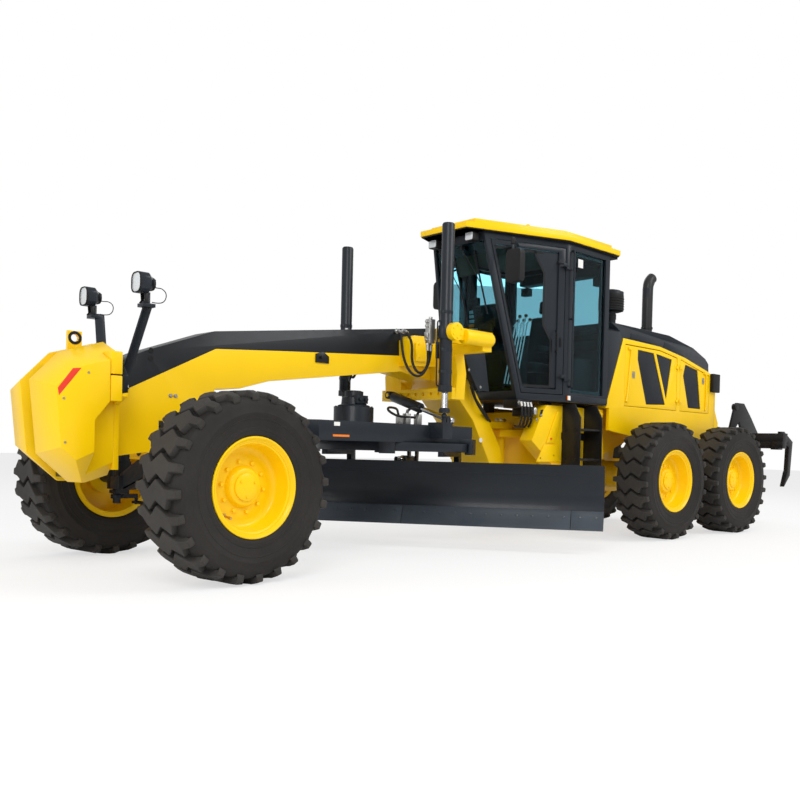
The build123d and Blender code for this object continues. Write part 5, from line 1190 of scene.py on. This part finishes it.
cushion = padded("seat_cushion", [(-0.560, 1.863), (-0.085, 1.863), (-0.085, 1.958), (-0.560, 1.950)],
                 -0.237, 0.237, 0.010)
back = padded("seat_back", [(-0.540, 1.985), (-0.445, 1.985), (-0.555, 2.545), (-0.640, 2.545)], -0.227,
              0.227, 0.010)
rest = padded("head_rest", [(-0.632, 2.575), (-0.562, 2.575), (-0.578, 2.730), (-0.640, 2.730)], -0.120,
              0.120, 0.008)
for piece in (cushion, back, rest):
    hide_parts("cab_seat")
piping = Stock()
piping.hose([(-0.540, 0.238, 1.915), (-0.300, 0.246, 1.917), (-0.120, 0.238, 1.917), (-0.084, 0.200, 1.917),
             (-0.078, 0.0, 1.917), (-0.084, -0.200, 1.917), (-0.120, -0.238, 1.917),
             (-0.300, -0.246, 1.917), (-0.540, -0.238, 1.915)], 0.005, 8)
for y in (-0.110, 0.110):
    piping.hose([(-0.455, y, 1.990), (-0.478, y, 2.140), (-0.512, y, 2.330), (-0.556, y, 2.540)], 0.0045, 8)
piping.piece("seat_piping", moulded, "rear", "seat", 0.0)
posts = Stock()
for y in (-0.060, 0.060):
    posts.rod((-0.592, y, 2.530), (-0.600, y, 2.600), 0.007, 12)
posts.box((-0.520, -0.180, 1.700), (-0.200, 0.180, 1.852))
posts.piece("seat_mount", black_enamel, "rear", "black", 0.004)


# Hood: folded steel side frames in yellow under a dark two-part cover. Its doors hold dark mesh
# panels, pull latches and moulded ribs; slanted dark plates close the gap to the cab.
dressed("hood_body", yellow_enamel, "yellow", 0.004)
HOOD_EDGE = [(-1.140, 2.300), (-1.910, 2.280), (-2.490, 2.200), (-3.080, 2.070), (-3.280, 2.000)]


def hood_edge(x):
    """Height of the side frames' top edge at a place along the hood."""
    for (x0, z0), (x1, z1) in zip(HOOD_EDGE, HOOD_EDGE[1:]):
        if x >= x1:
            return z0 + (z1 - z0) * min(1.0, (x0 - x) / (x0 - x1))
    return HOOD_EDGE[-1][1]


def hood_cover(spot):
    """Slopes the cover's sides in to its crown and draws its tail down over the grille."""
    x, y, z = spot
    if z > hood_edge(x) + 0.10 and abs(y) > 0.60:
        y = math.copysign(0.535, y)
    if x < -3.40:
        x, z = -3.375, z - 0.085
    elif x < -3.20 and z > 2.25:
        z -= 0.070
    return Vector((x, y, z))


dressed("hood_top", slate_enamel, "black", 0.006, move=hood_cover)
mesh_black = enamel("panel_mesh", (0.015, 0.018, 0.023), rough=0.55, coat=0.05, peel=0.16, grain=260.0,
                    tone=0.25)
PANES = {  # sunk mesh panels of each door, X and Z corners
    "front": ([(-1.442, 2.198), (-1.779, 2.188), (-2.058, 1.582), (-1.642, 1.562), (-1.442, 2.080)],
              [(-1.834, 2.188), (-2.188, 2.148), (-2.080, 1.646)]),
    "rear": ([(-2.512, 2.117), (-2.809, 2.067), (-2.908, 1.572), (-2.602, 1.572), (-2.462, 1.970)],),
}
RIBS = {"front": [(-1.232, 2.190), (-1.275, 2.195), (-1.300, 2.160), (-1.268, 1.900), (-1.232, 1.610),
                  (-1.215, 1.570)],
        "rear": [(-2.960, 2.045), (-3.010, 2.035), (-3.030, 2.000), (-3.030, 1.800), (-3.030, 1.600),
                 (-3.020, 1.560)]}
LATCH = {"front": (-1.358, 1.895), "rear": (-2.955, 1.940)}
for side, word in ((1, "left"), (-1, "right")):
    for end in ("front", "rear"):
        body = f"hood_door_{end}_{word}"
        dressed(body, yellow_enamel, "yellow", 0.003)
        panes = Stock()
        for outline in PANES[end]:
            panes.plate(outline, 0.6895, 0.6925)
        rib = Stock()
        rib.hose([(x, 0.7050, z) for x, z in RIBS[end]], 0.015, 12)
        latch = Stock()
        x, z = LATCH[end]
        latch.box((x - 0.026, 0.697, z - 0.040), (x + 0.026, 0.704, z + 0.040))
        latch.box((x - 0.016, 0.703, z - 0.026), (x + 0.016, 0.709, z + 0.022))
        for stock, label, finish, slot in ((panes, "mesh", mesh_black, "black"),
                                           (rib, "rib", yellow_enamel, "yellow"),
                                           (latch, "latch", zinc, "yellow")):
            if side < 0:
                mirrored(stock)
            stock.piece(f"{body}_{label}", finish, body, slot, 0.0015 if label != "rib" else 0.0)
gap = Stock()
gap.plate([(-0.776, 1.535), (-0.838, 1.535), (-1.132, 2.285), (-1.060, 2.372), (-0.776, 2.372)], 0.688,
          0.697)
gap.box((-1.050, 0.560, 2.360), (-0.776, 0.697, 2.372))
gap.piece("hood_gap_plates", slate_enamel, "rear", "slate", 0.003, both=True)
shade = Stock()
shade.plate([(-0.776, 2.366), (-1.130, 2.366), (-1.130, 2.374), (-0.776, 2.374)], -0.560, 0.560)
shade.piece("hood_gap_shelf", slate_enamel, "rear", "slate", 0.0)
lids = Stock()
for (x0, z0), (x1, z1) in (((-1.290, 2.492), (-2.100, 2.485)), ((-2.330, 2.468), (-3.060, 2.335))):
    lids.plate([(x0, z0 - 0.012), (x1, z1 - 0.012), (x1 + 0.016, z1 + 0.012), (x0 - 0.016, z0 + 0.012)],
               0.090, 0.470)
lids.piece("hood_lids", slate_enamel, "rear", "black", 0.006, both=True)
flaps = Stock()
for x0, x1 in ((-1.280, -1.860), (-2.000, -2.480)):
    z0, z1 = hood_edge(x0) + 0.020, hood_edge(x1) + 0.020
    rise = 0.062
    flaps.add([(x0, 0.693, z0), (x1, 0.693, z1), (x1 + 0.03, 0.693, z1 + rise),
               (x0 - 0.03, 0.693, z0 + rise), (x0, 0.684, z0), (x1, 0.684, z1),
               (x1 + 0.03, 0.684, z1 + rise), (x0 - 0.03, 0.684, z0 + rise)], SLAB_FACES)
flaps.piece("hood_flaps", slate_enamel, "rear", "black", 0.003, both=True)

# Tail: a slatted dark grille, lamps in black cases on the rear corners, and two bent handles. All
# are bolted to the hood's end.
tail = Stock()
tail.box((-3.308, 0.6985, 1.808), (-3.132, 0.754, 2.050))
tail.piece("tail_lamp_cases", moulded, "rear", "black", 0.008, both=True)
red_lens = enamel("red_lens", (0.45, 0.012, 0.010), rough=0.15, coat=0.8, peel=0.25, grain=70.0)
amber_lens = enamel("amber_lens", (0.70, 0.19, 0.010), rough=0.15, coat=0.8, peel=0.25, grain=70.0)
for label, finish, low, high in (("stop", red_lens, 1.822, 1.925), ("turn", amber_lens, 1.935, 2.036)):
    lens_face = Stock()
    lens_face.box((-3.314, 0.706, low), (-3.307, 0.747, high))
    lens_face.piece(f"{label}_lenses", finish, "rear", "glass", 0.002, both=True)
slats = Stock()
for k in range(9):
    z = 1.585 + k * 0.043
    slats.add([(-3.3115, -0.467, z - 0.0015), (-3.3115, 0.467, z - 0.0015), (-3.3115, 0.467, z + 0.0155),
               (-3.3115, -0.467, z + 0.0155), (-3.291, -0.467, z + 0.0215), (-3.291, 0.467, z + 0.0215),
               (-3.291, 0.467, z + 0.0165), (-3.291, -0.467, z + 0.0165)],
              [(0, 1, 2, 3), (3, 2, 6, 7), (7, 6, 5, 4), (4, 5, 1, 0), (0, 3, 7, 4), (1, 5, 6, 2)])
for y in (-0.474, 0.474):
    slats.box((-3.314, y - 0.010, 1.556), (-3.289, y + 0.010, 1.962))
slats.box((-3.3025, -0.464, 1.566), (-3.2885, 0.464, 1.952))
slats.piece("grille_slats", mesh_black, "rear", "black", 0.0015)
handles = Stock()
for y in (-0.560, 0.560):
    handles.hose([(-3.281, y, 1.640), (-3.322, y, 1.640), (-3.326, y, 1.680), (-3.326, y, 1.880),
                  (-3.322, y, 1.920), (-3.281, y, 1.920)], 0.010, 10)
handles.piece("tail_handles", slate_enamel, "rear", "black", 0.0)

# Engine pieces above the hood: a steel exhaust stack with a smooth bend, and an air pre-cleaner
# with a ribbed drum. The block below is plain cast iron.
soot = enamel("stack_enamel", (0.030, 0.030, 0.031), rough=0.42, coat=0.1, metal=0.3, peel=0.06,
              grain=300.0, tone=0.25)
dressed("engine_block", cast_enamel, "cast", 0.004)
stack = Stock()
stack.hose([(-2.670, 0, 2.440), (-2.670, 0, 2.800), (-2.670, 0, 3.080), (-2.674, 0, 3.210),
            (-2.700, 0, 3.290), (-2.762, 0, 3.334)], 0.0715, 24)
stack.turned([(0.071, 0), (0.110, 0), (0.106, 0.022), (0.071, 0.030)], (-2.670, 0, 2.462), UP, 32)
stack.turned([(0.0725, 0), (0.0785, 0), (0.0785, 0.024), (0.0725, 0.024)], (-2.670, 0, 2.640), UP,
             32)
stack.piece("exhaust_stack", soot, "rear", "cast", 0.0)
drum = Stock()
profile = [(0, 2.690), (0.120, 2.690), (0.152, 2.702)]
for k in range(5):
    z = 2.716 + k * 0.030
    profile += [(0.152, z), (0.158, z + 0.005), (0.158, z + 0.013), (0.152, z + 0.018)]
profile += [(0.153, 2.880), (0.146, 2.918), (0.110, 2.948), (0.050, 2.962), (0, 2.964)]
drum.turned([(r, z - 2.690) for r, z in profile], (-1.500, 0.250, 2.690), UP, 48)
drum.turned([(0.0605, 0), (0.066, 0), (0.066, 0.060), (0.0605, 0.060)], (-1.500, 0.250, 2.600), UP,
            32)
drum.turned([(0.0605, 0), (0.095, 0), (0.090, 0.016), (0.0605, 0.022)], (-1.500, 0.250, 2.482), UP,
            32)
drum.piece("pre_cleaner", moulded, "rear", "cast", 0.0)

# Air conditioning box: a black case with a louvred rear face under the roof's tail. Two rear
# work lamps hang below it.
case = Stock()
case.box((-0.925, -0.600, 2.985), (-0.772, 0.600, 3.164))
for k in range(6):
    case.box((-0.931, -0.520, 3.002 + k * 0.025), (-0.924, 0.520, 3.012 + k * 0.025))
for y in (-0.545, 0.545):
    case.box((-0.885, y - 0.055, 2.870), (-0.800, y + 0.055, 2.962))
    case.box((-0.850, y - 0.010, 2.955), (-0.830, y + 0.010, 2.990))
case.piece("rear_case", moulded, "rear", "black", 0.006)
rear_lens = Stock()
for y in (-0.545, 0.545):
    rear_lens.box((-0.889, y - 0.045, 2.880), (-0.884, y + 0.045, 2.952))
rear_lens.piece("rear_lamp_lenses", clear_lens, "rear", "glass", 0.0015)


# Rear frame: welded plate rails, tanks and tail in yellow. Two steel articulation pins carry
# bolted caps.
dressed("rear_frame", yellow_enamel, "yellow", 0.006)
caps = Stock()
for z in (1.296, 0.599):
    up = 1 if z > 1 else -1
    caps.turned([(0, 0), (0.066, 0), (0.066, 0.012), (0.058, 0.018), (0, 0.018)], (0.160, 0, z), (0, 0, up),
                32)
    caps.hexes((0.160, 0, z + up * 0.018), (0, 0, up), 0.044, [math.pi * (k + 0.5) / 2 for k in range(4)],
               0.016, 0.009)
caps.piece("articulation_caps", zinc, "rear", "slate", 0.0)

# Side tank trim: pressed ribs and a stepped lower ledge on each tank in yellow, with hexagon plugs,
# a red marker and a dark vent. All are fixed to the tank's side.
ribs = Stock()
ribs.plate([(0.300, 0.860), (0.180, 1.040), (-0.050, 1.040), (-0.110, 0.860)], 0.639, 0.652)
ribs.plate([(0.150, 1.060), (-0.020, 1.400), (-0.110, 1.400), (0.010, 1.060)], 0.639, 0.654)
ribs.plate([(0.330, 0.800), (0.330, 0.826), (-0.180, 0.826), (-0.180, 0.800)], 0.630, 0.672)
ribs.plate([(-0.720, 1.395), (-0.720, 1.425), (-0.850, 1.425), (-0.850, 1.395)], 0.636, 0.650)
ribs.piece("tank_ribs", yellow_enamel, "rear", "yellow", 0.008, 2, both=True)
plugs = Stock()
for x, z in ((0.300, 1.300), (0.230, 1.345), (0.020, 0.930), (0.240, 0.900)):
    plugs.hex((x, 0.640, z), LEFT, 0.022, 0.012)
plugs.piece("tank_plugs", zinc, "rear", "yellow", 0.0, both=True)
vent = Stock()
vent.plate([(0.262, 1.330), (0.236, 1.402), (0.196, 1.412), (0.222, 1.340)], 0.6398, 0.6420)
vent.piece("tank_vents", mesh_black, "rear", "black", 0.0, both=True)
cork = Stock()
cork.turned([(0, 0), (0.013, 0), (0.011, 0.010), (0, 0.012)], (0.075, 0.652, 1.105), LEFT, 16)
cork.piece("tank_marker", red_film, "rear", "yellow", 0.0, both=True)

# Steps: folded black cheeks with two punched treads, bolted to the tank's side.
dressed("side_steps", black_enamel, "black", 0.003)
grips = Stock()
for z in (0.900, 1.220):
    for row in range(2):
        for k in range(9):
            grips.turned([(0.009, 0), (0.013, 0), (0.011, 0.006), (0.009, 0.006)],
                         (-0.462 + 0.038 * k, 0.725 + 0.085 * row, z - 0.001), UP, 10)
for x in (-0.488, -0.108):
    for z in (0.880, 1.190):
        for y in (0.700, 0.840):
            grips.hex((x - (0.012 if x < -0.3 else 0.0), y, z + 0.010), (-1 if x < -0.3 else 1, 0, 0),
                      0.020, 0.009)
grips.piece("step_grips", black_enamel, "rear", "black", 0.0, both=True)

# Valve gear under the cab's front: a black manifold on the left rail with bright elbows and short
# black hoses that turn back into the frame. A pale reflector sits on each side of the beam's leg.
gear = Stock()
gear.box((0.330, 0.400, 1.410), (0.560, 0.600, 1.496))
gear.box((0.300, 0.400, 1.330), (0.420, 0.560, 1.412))
gear.piece("valve_manifold", black_enamel, "rear", "black", 0.006)
feeds, joints = Stock(), Stock()
for k in range(4):
    x, y = 0.540 - 0.055 * k, 0.605 - 0.004 * k
    feeds.hose([(x, y + 0.034, 1.430), (x + 0.006, y + 0.046, 1.395),
                (x - 0.006, y + 0.036, 1.310 - 0.01 * k), (x - 0.060, y - 0.040, 1.235),
                (x - 0.120, y - 0.120, 1.215), (x - 0.160, y - 0.200, 1.230)], 0.0115)
    joints.rod((x, y - 0.020, 1.462), (x, y + 0.026, 1.462), 0.013, 14)
    joints.hex((x, y - 0.004, 1.462), LEFT, 0.030, 0.012)
    joints.rod((x, y + 0.022, 1.470), (x, y + 0.036, 1.424), 0.015, 14)
joints.turned([(0, 0), (0.022, 0), (0.026, 0.008), (0.026, 0.060), (0.018, 0.074), (0, 0.074)],
              (0.300, 0.610, 1.350), UP, 24)
joints.rod((0.300, 0.560, 1.420), (0.300, 0.610, 1.420), 0.010, 12)
feeds.piece("valve_hoses", hose_rubber, "rear", "black", 0.0)
joints.piece("valve_elbows", alloy, "rear", "slate", 0.0)
marker = Stock()
marker.turned([(0, 0), (0.024, 0), (0.024, 0.005), (0, 0.006)], (0.760, 0.2805, 1.070), LEFT, 24)
marker.piece("leg_reflectors", blank_label, "front_frame", "yellow", 0.0, both=True)

# Tandem cases: welded chain boxes in yellow, with a ring of bolts round each wheel's hub and one
# at the pivot between them.
dressed("tandem_cases", yellow_enamel, "yellow", 0.006)
covers = Stock()
for x in (AXLE_X["rear"], -2.190, AXLE_X["mid"]):
    covers.hexes((x, 0.830, AXLE_Z), LEFT, 0.205, [2 * math.pi * k / 12 for k in range(12)], 0.022,
                 0.013)
covers.piece("case_bolts", yellow_enamel, "rear", "yellow", 0.0, both=True)

# Ripper: two arms, a box toolbar and five curved shanks in black, hung from the tail plates and
# worked by one cylinder. Tips, link plates at the sides and sockets under the bar are added here.
dressed("ripper_beam", black_enamel, "black", 0.004)
points = Stock()
SHANK_Y = [(row - 2) * 0.480 for row in range(5)]
for y in SHANK_Y:
    points.plate([(-4.972, 0.742), (-4.988, 0.716), (-4.800, 0.548), (-4.892, 0.764), (-4.906, 0.776)],
                 y - 0.034, y + 0.034)
points.piece("ripper_tips", black_enamel, "ripper_beam", "black", 0.003)
webs = Stock()
webs.plate([(-4.060, 1.345), (-4.205, 1.700), (-4.245, 1.735), (-4.465, 1.735), (-4.700, 1.530),
            (-4.915, 1.320), (-4.915, 1.200), (-4.500, 1.200), (-4.330, 1.470), (-4.200, 1.345)], 0.480,
           0.515)
webs.turned([(0, 0), (0.050, 0), (0.050, 0.060), (0.040, 0.066), (0, 0.066)], (-4.225, 0.465, 1.672),
            LEFT, 28)
webs.piece("ripper_links", black_enamel, "ripper_beam", "black", 0.004, 2, both=True)
belly = Stock()
belly.box((-4.655, -1.078, 1.095), (-4.530, 1.078, 1.192))
for y in SHANK_Y:
    belly.box((-4.668, y - 0.056, 1.078), (-4.520, y + 0.056, 1.196))
belly.piece("ripper_sockets", black_enamel, "ripper_beam", "black", 0.005)
pins = Stock()
for side in (-1, 1):
    pins.turned([(0, 0), (0.042, 0), (0.042, 0.010), (0, 0.014)], (-3.690, side * 0.541, 0.800),
                (0, side, 0), 24)
pins.piece("ripper_pins", zinc, "rear", "slate", 0.0)
